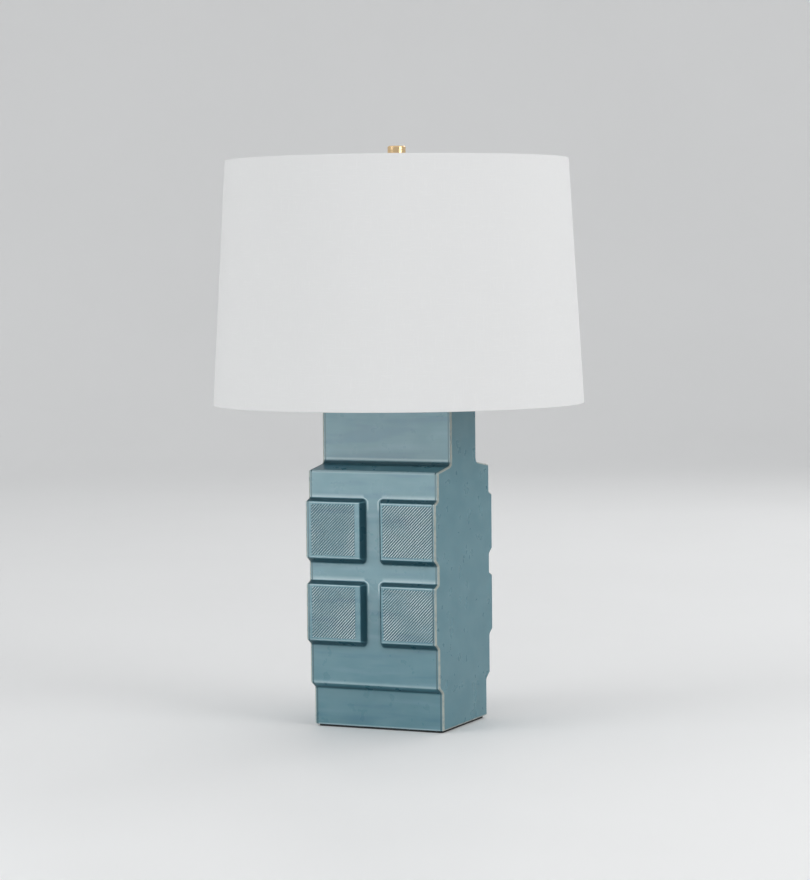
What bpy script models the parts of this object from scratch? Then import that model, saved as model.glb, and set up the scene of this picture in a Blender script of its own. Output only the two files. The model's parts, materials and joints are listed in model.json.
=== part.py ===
"""Table lamp: a glazed ceramic block base, brass and steel lamp hardware, an LED bulb and a tapered drum shade.

Frame: metres, +Z up, origin on the table under the middle of the base. The relief faces point to -Y and +Y.
Each piece is one object. Pieces that touch keep GAP between them, so that every solid stays its own.
"""

import math

import bmesh
import bpy
from mathutils import Matrix, Vector

# ---------------------------------------------------------------- driving dimensions (metres)
GAP = 0.0003                 # clearance between neighbouring pieces
PAST = 0.003                 # how far a cutter reaches past the wall it cuts
ROUND = 32                   # sides of a small turned piece
ROUND_LARGE = 64             # sides of the shade's turned pieces

# Ceramic base. Depths are front to back, heights are above the ceramic's own underside.
BODY_WIDTH = 0.154
BODY_HEIGHT = 0.3637
BODY_WALL = 0.007
SIDE_EDGE_RADIUS = 0.003     # rounding of the edges around the two flat sides
EDGE_CUT = 0.002             # how far a profile corner is cut back to round it
SHOULDER_CUT = 0.0035        # the same for the shoulder and the neck's foot
FOOT_DEPTH = 0.122
FOOT_HEIGHT = 0.0407
FOOT_STEP_HEIGHT = 0.0065    # rise of the sloping step from foot to band
BAND_DEPTH = 0.142
SHOULDER_HEIGHT = 0.2795     # edge of the shoulder
SHOULDER_RISE = 0.0055       # slope of the shoulder up to the neck
NECK_DEPTH = 0.069
RECESS_HEIGHT = 0.020        # hollow under the floor, where the cord turns out
FLOOR_THICKNESS = 0.007
FLOOR_HOLE_DIAMETER = 0.050
ROD_HOLE_DIAMETER = 0.013
CORD_HOLE_DIAMETER = 0.0127
CORD_HOLE_HEIGHT = 0.010

# Raised blocks, two rows of two on the front and on the back
BLOCK_RELIEF = 0.0085
BLOCK_FACE_HEIGHT = 0.060
BLOCK_FIRST_HEIGHT = 0.0957  # lower edge of the lower blocks' faces
BLOCK_PITCH = 0.090
BLOCK_SLOPE_BELOW = 0.0075
BLOCK_SLOPE_ABOVE = 0.0045
CHANNEL_WIDTH = 0.0145       # vertical channel between the blocks, at its bottom
CHANNEL_SLOPE = 0.0055
SLOPE_STEPS = 5              # facets across each sloping wall of a block

# Base pad and the fixings under the floor
PAD_THICKNESS = 0.002
PAD_INSET = 0.003
WASHER_DIAMETER = 0.080
WASHER_THICKNESS = 0.002
LOCK_WASHER_DIAMETER = 0.018
LOCK_WASHER_THICKNESS = 0.0015
NUT_ACROSS_FLATS = 0.016
NUT_HEIGHT = 0.005
ROD_DIAMETER = 0.0100
ROD_BORE = 0.0070
ROD_TAIL = 0.002             # rod below the nut

# Cord grommet
GROMMET_BORE = 0.0076
GROMMET_FLANGE_DIAMETER = 0.0175
GROMMET_FLANGE_THICKNESS = 0.0022

# Neck hardware
GASKET_DIAMETER = 0.046
GASKET_THICKNESS = 0.0015
NECK_CAP_DIAMETER = 0.052
NECK_CAP_HEIGHT = 0.006
NECK_CAP_RIM = 0.0028        # height of its straight rim
NECK_CAP_BOSS_WALL = 0.0015  # its raised middle stands this far out around the spacer
NECK_CAP_EDGE = 0.001
SPACER_DIAMETER = 0.016
SPACER_HEIGHT = 0.0076

# Harp
SADDLE_THICKNESS = 0.0015
SADDLE_HOLE_MARGIN = 0.0007  # metal left on each side of the rod's hole
SADDLE_FLAT = 0.028          # length of the flat middle
SADDLE_ARM_RISE = 0.009
SADDLE_BEND_RISE = 0.004     # the sloping part of an arm ends here, and its upright part starts
TONGUE_SPACING = 0.048       # between the two upright tongues, centre to centre
TONGUE_WIDTH = 0.0036
TONGUE_HEIGHT = 0.014
FERRULE_BORE = 0.0072
FERRULE_WALL = 0.0008
FERRULE_HEIGHT = 0.014
FERRULE_TRAVEL = 0.015
HARP_WIRE = 0.0034
HARP_RISE = 0.2235           # from the saddle's underside up to the spider's hub
HARP_WIDTH = 0.114           # across the wire's centreline
HARP_TOP_FLAT = 0.020
HARP_TOP_REACH = 0.028       # how far the flat top's direction carries into the bend
HARP_STRAIGHT = 0.003        # straight leg left above a raised ferrule
HARP_WIDEST_SHARE = 0.42     # where the bow is widest, as a share of its height above the legs
BOSS_DIAMETER = 0.011
BOSS_HEIGHT = 0.009
STUD_FLANGE_DIAMETER = 0.014
STUD_FLANGE_THICKNESS = 0.0012
STUD_PIVOT_DIAMETER = 0.0034
STUD_PIVOT_LENGTH = 0.0030
STUD_THREAD_DIAMETER = 0.0060
STUD_THREAD_LENGTH = 0.012
STUD_CHAMFER = 0.0006

# Socket, heights above the underside of its cap
SOCKET_THREAD_CLEARANCE = 0.0004  # radial, between the bulb's screw base and the socket's
SHELL_WALL = 0.0008
SHELL_TOP = 0.0600
SHELL_BEAD = 0.0006          # rolled edge of the shell's mouth
SHELL_SEAT = 0.0020          # shell's lower edge above the cap's hub
LINER_WALL = 0.0007
LINER_PROUD = 0.0018         # liner standing above the shell
CAP_RIM_WALL = 0.0010
CAP_RIM_BOTTOM = 0.0095
CAP_RIM_TOP = 0.0170
CAP_WALL = 0.0014            # wall of its cone, measured up and down
CAP_BEND = 0.0014            # rounding between cone and rim
CAP_HUB_HEIGHT = 0.0080
CAP_HUB_DIAMETER = 0.0170
BLOCK_INSULATOR_TOP = 0.0335
SCREW_SHELL_WALL = 0.0005
SCREW_SHELL_SEAT = 0.0005    # screw shell's floor above the block
SCREW_SHELL_HOLE = 0.0140
TAB_WIDTH = 0.0050
TAB_THICKNESS = 0.0005
TERMINAL_HEIGHT = 0.0200
TERMINAL_HEAD_DIAMETER = 0.0060
TERMINAL_HEAD_THICKNESS = 0.0016
TERMINAL_SHANK_DIAMETER = 0.0030
TERMINAL_SHANK_LENGTH = 0.0050
TERMINAL_CLEARANCE = 0.0005  # between a terminal's head and the liner, besides GAP
SWITCH_HEIGHT = 0.0240
STEM_DIAMETER = 0.0040
STEM_INNER_END = 0.0050      # distance of its inner end from the lamp's axis
STEM_LENGTH = 0.0290
BUSHING_DIAMETER = 0.0084
BUSHING_PROUD = 0.0035       # bushing standing out of the shell
KNOB_DIAMETER = 0.0110
KNOB_COLLAR = 0.0060
KNOB_FACE = 0.0020           # how deep the paddle is set into the collar
PADDLE_WIDTH = 0.0170
PADDLE_THICKNESS = 0.0050
PADDLE_LENGTH = 0.0120

# Bulb, heights above the tip of its contact
BULB_CONTACT_DIAMETER = 0.0095
BULB_CONTACT_HEIGHT = 0.0020
BULB_INSULATOR_HEIGHT = 0.0050
BULB_INSULATOR_EDGE = 0.0010
BULB_SCREW_DIAMETER = 0.0260
BULB_SCREW_WALL = 0.0006
BULB_SCREW_HEIGHT = 0.0220
BULB_SCREW_TAPER = 0.0030    # height and depth of the taper at its lower end
BULB_COLLAR_PROUD = 0.0015   # the housing's collar stands out this far over the screw base
BULB_COLLAR_HEIGHT = 0.0055
BULB_FLARE_HEIGHT = 0.0195   # where the housing's cone turns steeper
BULB_FLARE_DIAMETER = 0.0409
BULB_SEAM_HEIGHT = 0.0660    # where the diffuser meets the housing
BULB_DIAMETER = 0.0600
BULB_LENGTH = 0.1100
BULB_DIFFUSER_WALL = 0.0012
BULB_BOARD_THICKNESS = 0.0016
BULB_BOARD_DROP = 0.0048     # underside of the board below the seam
BULB_BOARD_CLEARANCE = 0.0030
BULB_CONTACT_CLEARANCE = 0.0012  # tip above the socket's contact tab

# Shade
SHADE_HEIGHT = 0.2665
SHADE_BOTTOM_DIAMETER = 0.4064
SHADE_TOP_DIAMETER = 0.3750
FABRIC_THICKNESS = 0.0008
STYRENE_THICKNESS = 0.0005
HEM_THICKNESS = 0.0006
HEM_HEIGHT = 0.0090
RING_WIRE = 0.0030
SPIDER_DROP = 0.0127         # hub's underside below the shade's top edge
SPIDER_WIRE = 0.0028
SPIDER_ARMS = 3
HUB_DIAMETER = 0.0260
HUB_THICKNESS = 0.0016
ARM_RISE_RUN = 0.014         # length over which an arm climbs to the ring
ARM_END_FLAT = 0.005

# Finial
FINIAL_DIAMETER = 0.0200
FINIAL_HEIGHT = 0.0255
FINIAL_BASE_DIAMETER = 0.0130
FINIAL_WAIST_DIAMETER = 0.0110
FINIAL_WAIST_LOW = 0.0030
FINIAL_WAIST_HIGH = 0.0050
FINIAL_BASE_HEIGHT = 0.0015
FINIAL_UNDERCUT = 0.0025     # height of the cone from the waist to the knob
FINIAL_CHAMFER = 0.0012
FINIAL_BORE_DIAMETER = 0.0100
FINIAL_BORE_DEPTH = 0.0130
INSERT_HEIGHT = 0.0100

# ---------------------------------------------------------------- places worked out from the above
BODY_Z = PAD_THICKNESS + GAP
BODY_TOP = BODY_Z + BODY_HEIGHT
FLOOR_Z = BODY_Z + RECESS_HEIGHT
ROD_CLEARANCE = ROD_DIAMETER / 2 + GAP
SADDLE_WIDTH = 2 * (ROD_CLEARANCE + SADDLE_HOLE_MARGIN)

WASHER_Z = FLOOR_Z - GAP - WASHER_THICKNESS
LOCK_WASHER_Z = WASHER_Z - GAP - LOCK_WASHER_THICKNESS
NUT_Z = LOCK_WASHER_Z - GAP - NUT_HEIGHT
ROD_Z = NUT_Z - ROD_TAIL

GASKET_Z = BODY_TOP + GAP
NECK_CAP_Z = GASKET_Z + GASKET_THICKNESS + GAP
SPACER_Z = NECK_CAP_Z + NECK_CAP_HEIGHT + GAP
SADDLE_Z = SPACER_Z + SPACER_HEIGHT + GAP
SOCKET_Z = SADDLE_Z + SADDLE_THICKNESS + GAP
ROD_TOP = SOCKET_Z + CAP_HUB_HEIGHT - GAP

HUB_Z = SADDLE_Z + HARP_RISE
SHADE_TOP_Z = HUB_Z + SPIDER_DROP
SHADE_BOTTOM_Z = SHADE_TOP_Z - SHADE_HEIGHT
STUD_FLANGE_Z = HUB_Z - GAP - STUD_FLANGE_THICKNESS
BOSS_Z = STUD_FLANGE_Z - GAP - BOSS_HEIGHT
HARP_WIRE_Z = BOSS_Z + 0.33 * BOSS_HEIGHT
FERRULE_Z = SADDLE_Z + SADDLE_ARM_RISE + GAP
LEG_X = TONGUE_SPACING / 2 + SADDLE_THICKNESS / 2 + GAP + HARP_WIRE / 2
FERRULE_X = (TONGUE_SPACING / 2 - SADDLE_THICKNESS / 2 + LEG_X + HARP_WIRE / 2) / 2
FINIAL_Z = HUB_Z + HUB_THICKNESS + GAP

SCREW_SHELL_RADIUS = BULB_SCREW_DIAMETER / 2 + SOCKET_THREAD_CLEARANCE + SCREW_SHELL_WALL
LINER_RADIUS = SCREW_SHELL_RADIUS + GAP + LINER_WALL
SHELL_RADIUS = LINER_RADIUS + GAP + SHELL_WALL
INSULATOR_RADIUS = LINER_RADIUS - LINER_WALL - TERMINAL_HEAD_THICKNESS - TERMINAL_CLEARANCE - GAP
SCREW_SHELL_BOTTOM = BLOCK_INSULATOR_TOP + SCREW_SHELL_SEAT
SHELL_BOTTOM = CAP_HUB_HEIGHT + SHELL_SEAT
BULB_Z = SOCKET_Z + SCREW_SHELL_BOTTOM + SCREW_SHELL_WALL + BULB_CONTACT_CLEARANCE
SWITCH_Z = SOCKET_Z + SWITCH_HEIGHT


# ---------------------------------------------------------------- modelling helpers
def clear_scene():
    for obj in list(bpy.data.objects):
        bpy.data.objects.remove(obj)


def material(name, colour, roughness, metallic=0.0):
    made = bpy.data.materials.new(name)
    made.use_nodes = True
    shader = made.node_tree.nodes["Principled BSDF"]
    shader.inputs["Base Color"].default_value = (*colour, 1.0)
    shader.inputs["Roughness"].default_value = roughness
    shader.inputs["Metallic"].default_value = metallic
    return made


def add_object(name, mesh_data, surface):
    obj = bpy.data.objects.new(name, mesh_data)
    bpy.context.scene.collection.objects.link(obj)
    if surface:
        mesh_data.materials.append(surface)
    return obj


def finish_mesh(name, bm, surface):
    bmesh.ops.remove_doubles(bm, verts=bm.verts, dist=1e-6)
    bmesh.ops.recalc_face_normals(bm, faces=bm.faces)
    mesh = bpy.data.meshes.new(name)
    bm.to_mesh(mesh)
    bm.free()
    mesh.shade_smooth()
    mesh.set_sharp_from_angle(angle=math.radians(35))
    return add_object(name, mesh, surface)


def turned(name, profile, surface, sides=ROUND, location=(0, 0, 0), lay_along_y=False):
    """A piece turned about Z from (radius, height) points that start and end on the axis, or make a ring."""
    bm = bmesh.new()
    points = [bm.verts.new((radius, 0, height)) for radius, height in profile]
    edges = [bm.edges.new(pair) for pair in zip(points, points[1:])]
    if profile[0][0] > 0:
        edges.append(bm.edges.new((points[-1], points[0])))
    bmesh.ops.spin(bm, geom=points + edges, axis=(0, 0, 1), cent=(0, 0, 0), angle=math.tau, steps=sides)
    obj = finish_mesh(name, bm, surface)
    if lay_along_y:
        obj.rotation_euler = (math.radians(90), 0, 0)
    obj.location = location
    return obj


def tube_profile(outer, inner, low, high):
    return [(inner, low), (outer, low), (outer, high), (inner, high)]


def rod_profile(radius, low, high):
    return [(0, low), (radius, low), (radius, high), (0, high)]


def prism(name, outline, depth, surface, axis="Y"):
    """A flat outline pushed both ways by half the depth: (x, z) points along Y, or (x, y) points along Z."""
    bm = bmesh.new()
    corners = [(a, -depth / 2, b) if axis == "Y" else (a, b, -depth / 2) for a, b in outline]
    face = bm.faces.new([bm.verts.new(corner) for corner in corners])
    pushed = bmesh.ops.extrude_face_region(bm, geom=[face])["geom"]
    shift = (0, depth, 0) if axis == "Y" else (0, 0, depth)
    bmesh.ops.translate(bm, vec=shift, verts=[v for v in pushed if isinstance(v, bmesh.types.BMVert)])
    return finish_mesh(name, bm, surface)


def box(name, low, high, surface=None):
    bm = bmesh.new()
    size = Vector(high) - Vector(low)
    middle = (Vector(high) + Vector(low)) / 2
    bmesh.ops.create_cube(bm, size=1.0, matrix=Matrix.Translation(middle) @ Matrix.Diagonal((*size, 1.0)))
    return finish_mesh(name, bm, surface)


def wire(name, points, diameter, surface, cyclic=False, resolution=2):
    """A round wire along a line of points."""
    curve = bpy.data.curves.new(name, "CURVE")
    curve.dimensions = "3D"
    curve.bevel_depth = diameter / 2
    curve.bevel_resolution = resolution
    curve.use_fill_caps = not cyclic
    spline = curve.splines.new("POLY")
    spline.points.add(len(points) - 1)
    for spot, point in zip(spline.points, points):
        spot.co = (*point, 1.0)
    spline.use_cyclic_u = cyclic
    return add_object(name, curve, surface)


def hide_helper(obj):
    obj.hide_render = True
    obj.display_type = "WIRE"


def boolean(obj, other, operation):
    hide_helper(other)
    modifier = obj.modifiers.new(f"{operation.lower()}_{other.name}", "BOOLEAN")
    modifier.operation = operation
    modifier.solver = "EXACT"
    modifier.object = other


def drill_y(obj, name, radius, z, low_y, high_y):
    """Cuts a round hole along Y, in the middle of the lamp."""
    cutter = turned(name, rod_profile(radius, -high_y, -low_y), None, location=(0, 0, z), lay_along_y=True)
    boolean(obj, cutter, "DIFFERENCE")


def bezier(start, start_handle, end_handle, end, steps):
    """Points of one cubic curve, without its last point."""
    points = []
    for step in range(steps):
        t = step / steps
        a, b, c, d = (1 - t) ** 3, 3 * t * (1 - t) ** 2, 3 * t * t * (1 - t), t**3
        points.append(a * Vector(start) + b * Vector(start_handle) + c * Vector(end_handle) + d * Vector(end))
    return points


# ---------------------------------------------------------------- ceramic base
def smooth(share):
    """Eases from 0 to 1 as share goes from 0 to 1."""
    share = min(max(share, 0.0), 1.0)
    return share * share * (3 - 2 * share)


def relief(x, z):
    """How far a block stands out of the band at a place on the front."""
    across = (abs(x) - CHANNEL_WIDTH / 2) / CHANNEL_SLOPE
    share = 0.0
    for row in range(2):
        low = BLOCK_FIRST_HEIGHT + row * BLOCK_PITCH
        from_below = (z - low) / BLOCK_SLOPE_BELOW + 1
        from_above = (low + BLOCK_FACE_HEIGHT - z) / BLOCK_SLOPE_ABOVE + 1
        short_by = math.hypot(max(1 - across, 0), max(1 - min(from_below, from_above), 0))
        share = max(share, 1 - short_by)
    return BLOCK_RELIEF * smooth(share)


def cut_corner(before, corner, after, cut):
    """Three points that round one corner of a line."""
    corner = Vector(corner)
    start = corner + (Vector(before) - corner).normalized() * cut
    end = corner + (Vector(after) - corner).normalized() * cut
    return [tuple(start), tuple((start + 2 * corner + end) / 4), tuple(end)]


def block_rows():
    """Heights at which the band's section is taken, so that each block's sloping walls keep their shape."""
    shares = [step / SLOPE_STEPS for step in range(SLOPE_STEPS + 1)]
    rows = []
    for row in range(2):
        low = BLOCK_FIRST_HEIGHT + row * BLOCK_PITCH
        high = low + BLOCK_FACE_HEIGHT
        rows += [low - BLOCK_SLOPE_BELOW * (1 - share) for share in shares]
        rows += [high + BLOCK_SLOPE_ABOVE * share for share in shares]
    return rows


def body_outline():
    """(y, z) loop of the base seen from its side, without the blocks: up one side and down the other."""
    foot, band, neck = FOOT_DEPTH / 2, BAND_DEPTH / 2, NECK_DEPTH / 2
    corners = [
        (0, 0),
        (foot, 0),
        (foot, FOOT_HEIGHT),
        (band, FOOT_HEIGHT + FOOT_STEP_HEIGHT),
        (band, SHOULDER_HEIGHT),
        (neck, SHOULDER_HEIGHT + SHOULDER_RISE),
        (neck, BODY_HEIGHT),
        (0, BODY_HEIGHT),
    ]
    cuts = [EDGE_CUT, EDGE_CUT, EDGE_CUT, SHOULDER_CUT, SHOULDER_CUT, EDGE_CUT]
    rounded = [cut_corner(*corners[i : i + 3], cut) for i, cut in enumerate(cuts)]
    half = sum(rounded[:3], []) + [(band, z) for z in block_rows()] + sum(rounded[3:], [])
    return half + [(-y, z) for y, z in reversed(half)]


def body_section(x, inset):
    """The base's (y, z) loop at a place across its width, with its blocks, moved inwards by inset."""
    loop = [Vector((y + math.copysign(relief(x, z), y), z)) for y, z in body_outline()]
    moved = []
    for before, here, after in zip(loop[-1:] + loop[:-1], loop, loop[1:] + loop[:1]):
        along = (after - before).normalized()
        moved.append(here + inset * Vector((-along.y, along.x)))
    return moved


def lofted_body(surface):
    """The base's outside, as a loft of sections from one flat side to the other."""
    side, channel = BODY_WIDTH / 2, CHANNEL_WIDTH / 2
    half = [(channel + CHANNEL_SLOPE * step / SLOPE_STEPS, 0.0) for step in range(SLOPE_STEPS + 1)]
    for degrees in (0, 30, 60, 90):
        angle = math.radians(degrees)
        x = side - SIDE_EDGE_RADIUS * (1 - math.sin(angle))
        half.append((x, SIDE_EDGE_RADIUS * (1 - math.cos(angle))))
    stations = [(-x, inset) for x, inset in reversed(half)] + half
    bm = bmesh.new()
    loops = []
    for x, inset in stations:
        loops.append([bm.verts.new((x, y, BODY_Z + z)) for y, z in body_section(x, inset)])
    count = len(loops[0])
    for near, far in zip(loops, loops[1:]):
        for i in range(count):
            j = (i + 1) % count
            bm.faces.new((near[i], near[j], far[j], far[i]))
    bm.faces.new(loops[0])
    bm.faces.new(reversed(loops[-1]))
    return finish_mesh("ceramic_body", bm, surface)


def cavity():
    """The hollow above the floor, one wall thickness inside the outline."""
    foot = FOOT_DEPTH / 2 - BODY_WALL
    band = BAND_DEPTH / 2 - BODY_WALL
    neck = NECK_DEPTH / 2 - BODY_WALL
    floor_top = RECESS_HEIGHT + FLOOR_THICKNESS
    half = [
        (foot, floor_top),
        (foot, FOOT_HEIGHT),
        (band, FOOT_HEIGHT + FOOT_STEP_HEIGHT),
        (band, SHOULDER_HEIGHT - BODY_WALL),
        (neck, SHOULDER_HEIGHT + SHOULDER_RISE - BODY_WALL),
        (neck, BODY_HEIGHT - BODY_WALL),
    ]
    outline = half + [(-y, z) for y, z in reversed(half)]
    cutter = prism("cavity_cutter", outline, BODY_WIDTH - 2 * BODY_WALL, None)
    cutter.rotation_euler = (0, 0, math.radians(90))
    cutter.location = (0, 0, BODY_Z)
    return cutter


def ceramic_body(surface):
    body = lofted_body(surface)
    boolean(body, cavity(), "DIFFERENCE")
    inside_x, inside_y = BODY_WIDTH / 2 - BODY_WALL, FOOT_DEPTH / 2 - BODY_WALL
    recess = box("recess_cutter", (-inside_x, -inside_y, -BODY_WALL), (inside_x, inside_y, FLOOR_Z))
    boolean(body, recess, "DIFFERENCE")
    floor_hole = rod_profile(FLOOR_HOLE_DIAMETER / 2, FLOOR_Z - PAST, FLOOR_Z + FLOOR_THICKNESS + PAST)
    boolean(body, turned("floor_hole_cutter", floor_hole, None), "DIFFERENCE")
    top_hole = rod_profile(ROD_HOLE_DIAMETER / 2, BODY_TOP - BODY_WALL - PAST, BODY_TOP + PAST)
    boolean(body, turned("rod_hole_cutter", top_hole, None), "DIFFERENCE")
    back = FOOT_DEPTH / 2
    cord_z = BODY_Z + CORD_HOLE_HEIGHT
    drill_y(body, "cord_hole_cutter", CORD_HOLE_DIAMETER / 2, cord_z, back - BODY_WALL - PAST, back + PAST)
    shading = body.modifiers.new("even_shading", "WEIGHTED_NORMAL")
    shading.keep_sharp = True


# ---------------------------------------------------------------- base pad, rod and fixings
def hex_outline(across_flats):
    radius = across_flats / 2 / math.cos(math.pi / 6)
    corners = [math.radians(60 * i) for i in range(6)]
    return [(radius * math.cos(angle), radius * math.sin(angle)) for angle in corners]


def rod_ring(name, diameter, z, height, surface):
    """A plain ring that sits on the rod."""
    turned(name, tube_profile(diameter / 2, ROD_CLEARANCE, z, z + height), surface)


def hex_nut(name, z, surface):
    nut = prism(name, hex_outline(NUT_ACROSS_FLATS), NUT_HEIGHT, surface, axis="Z")
    nut.location = (0, 0, z + NUT_HEIGHT / 2)
    bore = turned(name + "_cutter", rod_profile(ROD_CLEARANCE, z - PAST, z + NUT_HEIGHT + PAST), None)
    boolean(nut, bore, "DIFFERENCE")


def base_fixings(felt, steel, rubber):
    pad_x, pad_y = BODY_WIDTH / 2 - PAD_INSET, FOOT_DEPTH / 2 - PAD_INSET
    box("base_pad", (-pad_x, -pad_y, 0), (pad_x, pad_y, PAD_THICKNESS), felt)
    rod_ring("base_washer", WASHER_DIAMETER, WASHER_Z, WASHER_THICKNESS, steel)
    rod_ring("base_lock_washer", LOCK_WASHER_DIAMETER, LOCK_WASHER_Z, LOCK_WASHER_THICKNESS, steel)
    hex_nut("base_nut", NUT_Z, steel)
    turned("threaded_rod", tube_profile(ROD_DIAMETER / 2, ROD_BORE / 2, ROD_Z, ROD_TOP), steel)
    cord_grommet(rubber)


def cord_grommet(surface):
    """A bushing with a flange on both sides of the back wall."""
    back = FOOT_DEPTH / 2
    flange, barrel, bore = GROMMET_FLANGE_DIAMETER / 2, CORD_HOLE_DIAMETER / 2 - GAP, GROMMET_BORE / 2
    inner_face, outer_face = back - BODY_WALL - GAP, back + GAP
    inner_end, outer_end = inner_face - GROMMET_FLANGE_THICKNESS, outer_face + GROMMET_FLANGE_THICKNESS
    inner_flange = (flange + barrel) / 2
    profile = [
        (bore, inner_end),
        (inner_flange, inner_end),
        (inner_flange, inner_face),
        (barrel, inner_face),
        (barrel, outer_face),
        (flange, outer_face),
        (flange, outer_end - GROMMET_FLANGE_THICKNESS / 2),
        (flange - GROMMET_FLANGE_THICKNESS / 2, outer_end),
        (bore, outer_end),
    ]
    profile = [(radius, -height) for radius, height in profile]
    turned("cord_grommet", profile, surface, location=(0, 0, BODY_Z + CORD_HOLE_HEIGHT), lay_along_y=True)


# ---------------------------------------------------------------- neck and harp
def neck_hardware(rubber, brass):
    rod_ring("neck_gasket", GASKET_DIAMETER, GASKET_Z, GASKET_THICKNESS, rubber)
    radius, boss = NECK_CAP_DIAMETER / 2, SPACER_DIAMETER / 2 + NECK_CAP_BOSS_WALL
    slope_run, slope_rise = radius - boss, NECK_CAP_HEIGHT - NECK_CAP_RIM
    cap = [
        (ROD_CLEARANCE, 0),
        (radius - NECK_CAP_EDGE, 0),
        (radius, NECK_CAP_EDGE),
        (radius, NECK_CAP_RIM),
        (radius - 0.1 * slope_run, NECK_CAP_RIM + 0.3 * slope_rise),
        (boss + 0.2 * slope_run, NECK_CAP_RIM + 0.6 * slope_rise),
        (boss, NECK_CAP_HEIGHT),
        (ROD_CLEARANCE, NECK_CAP_HEIGHT),
    ]
    turned("neck_cap", cap, brass, location=(0, 0, NECK_CAP_Z))
    rod_ring("neck_spacer", SPACER_DIAMETER, SPACER_Z, SPACER_HEIGHT, brass)


def harp_saddle(surface):
    flat, tongue, thick = SADDLE_FLAT / 2, TONGUE_SPACING / 2, SADDLE_THICKNESS
    inner, outer, rise = tongue - thick / 2, tongue + thick / 2, SADDLE_ARM_RISE
    right = [
        (flat, 0),
        (outer, SADDLE_BEND_RISE),
        (outer, rise),
        (inner, rise),
        (inner, SADDLE_BEND_RISE + thick),
        (flat, thick),
    ]
    left = [(-x, z) for x, z in reversed(right)]
    saddle = prism("harp_saddle", right + left, SADDLE_WIDTH, surface)
    saddle.location = (0, 0, SADDLE_Z)
    tongue_low = SADDLE_Z + rise - thick
    tongue_high = SADDLE_Z + rise + TONGUE_HEIGHT
    for side, label in ((1, "right"), (-1, "left")):
        x_low, x_high = sorted((side * inner, side * outer))
        low, high = (x_low, -TONGUE_WIDTH / 2, tongue_low), (x_high, TONGUE_WIDTH / 2, tongue_high)
        boolean(saddle, box(f"tongue_{label}", low, high), "UNION")
    hole = rod_profile(ROD_CLEARANCE, SADDLE_Z - PAST, SADDLE_Z + thick + PAST)
    boolean(saddle, turned("saddle_hole_cutter", hole, None), "DIFFERENCE")


def harp_half():
    """(x, z) points of the bow's right half, from the foot of its leg to the start of its flat top."""
    straight_top = FERRULE_Z + FERRULE_HEIGHT + FERRULE_TRAVEL + HARP_STRAIGHT
    widest_x = HARP_WIDTH / 2
    widest_z = straight_top + HARP_WIDEST_SHARE * (HARP_WIRE_Z - straight_top)
    spread, close = 0.55 * (widest_z - straight_top), 0.62 * (HARP_WIRE_Z - widest_z)
    leg_end, widest, top = (LEG_X, straight_top), (widest_x, widest_z), (HARP_TOP_FLAT / 2, HARP_WIRE_Z)
    points = [Vector((LEG_X, FERRULE_Z)), Vector((LEG_X, (FERRULE_Z + straight_top) / 2))]
    points += bezier(leg_end, (LEG_X, straight_top + spread), (widest_x, widest_z - spread), widest, 9)
    points += bezier(widest, (widest_x, widest_z + close), (top[0] + HARP_TOP_REACH, HARP_WIRE_Z), top, 11)
    return points + [Vector(top)]


def harp(steel, brass):
    harp_saddle(brass)
    half = harp_half()
    line = [(x, 0, z) for x, z in half] + [(-x, 0, z) for x, z in reversed(half)]
    wire("harp_bow", line, HARP_WIRE, brass, resolution=2)
    boss_top = BOSS_Z + BOSS_HEIGHT
    boss = turned("harp_top_boss", rod_profile(BOSS_DIAMETER / 2, BOSS_Z, boss_top), brass)
    pit = rod_profile(STUD_PIVOT_DIAMETER / 2 + GAP, boss_top - STUD_PIVOT_LENGTH - GAP, boss_top + PAST)
    boolean(boss, turned("boss_pit_cutter", pit, None), "DIFFERENCE")
    cross = turned("boss_wire_cutter", rod_profile(HARP_WIRE / 2 + GAP, -BOSS_DIAMETER, BOSS_DIAMETER), None)
    cross.rotation_euler = (0, math.radians(90), 0)
    cross.location = (0, 0, HARP_WIRE_Z)
    boolean(boss, cross, "DIFFERENCE")
    for side, label in ((1, "right"), (-1, "left")):
        sleeve = tube_profile(FERRULE_BORE / 2 + FERRULE_WALL, FERRULE_BORE / 2, 0, FERRULE_HEIGHT)
        turned(f"harp_ferrule_{label}", sleeve, brass, location=(side * FERRULE_X, 0, FERRULE_Z))
    swivel_stud(steel)


def swivel_stud(surface):
    """Pivot in the boss, flange under the shade's hub, thread for the finial."""
    pivot, flange, thread = STUD_PIVOT_DIAMETER / 2, STUD_FLANGE_DIAMETER / 2, STUD_THREAD_DIAMETER / 2
    top = STUD_FLANGE_THICKNESS + STUD_THREAD_LENGTH
    profile = [
        (0, -STUD_PIVOT_LENGTH),
        (pivot, -STUD_PIVOT_LENGTH),
        (pivot, 0),
        (flange, 0),
        (flange, STUD_FLANGE_THICKNESS),
        (thread, STUD_FLANGE_THICKNESS),
        (thread, top - STUD_CHAMFER),
        (thread - STUD_CHAMFER, top),
        (0, top),
    ]
    turned("harp_swivel_stud", profile, surface, location=(0, 0, STUD_FLANGE_Z))


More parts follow.
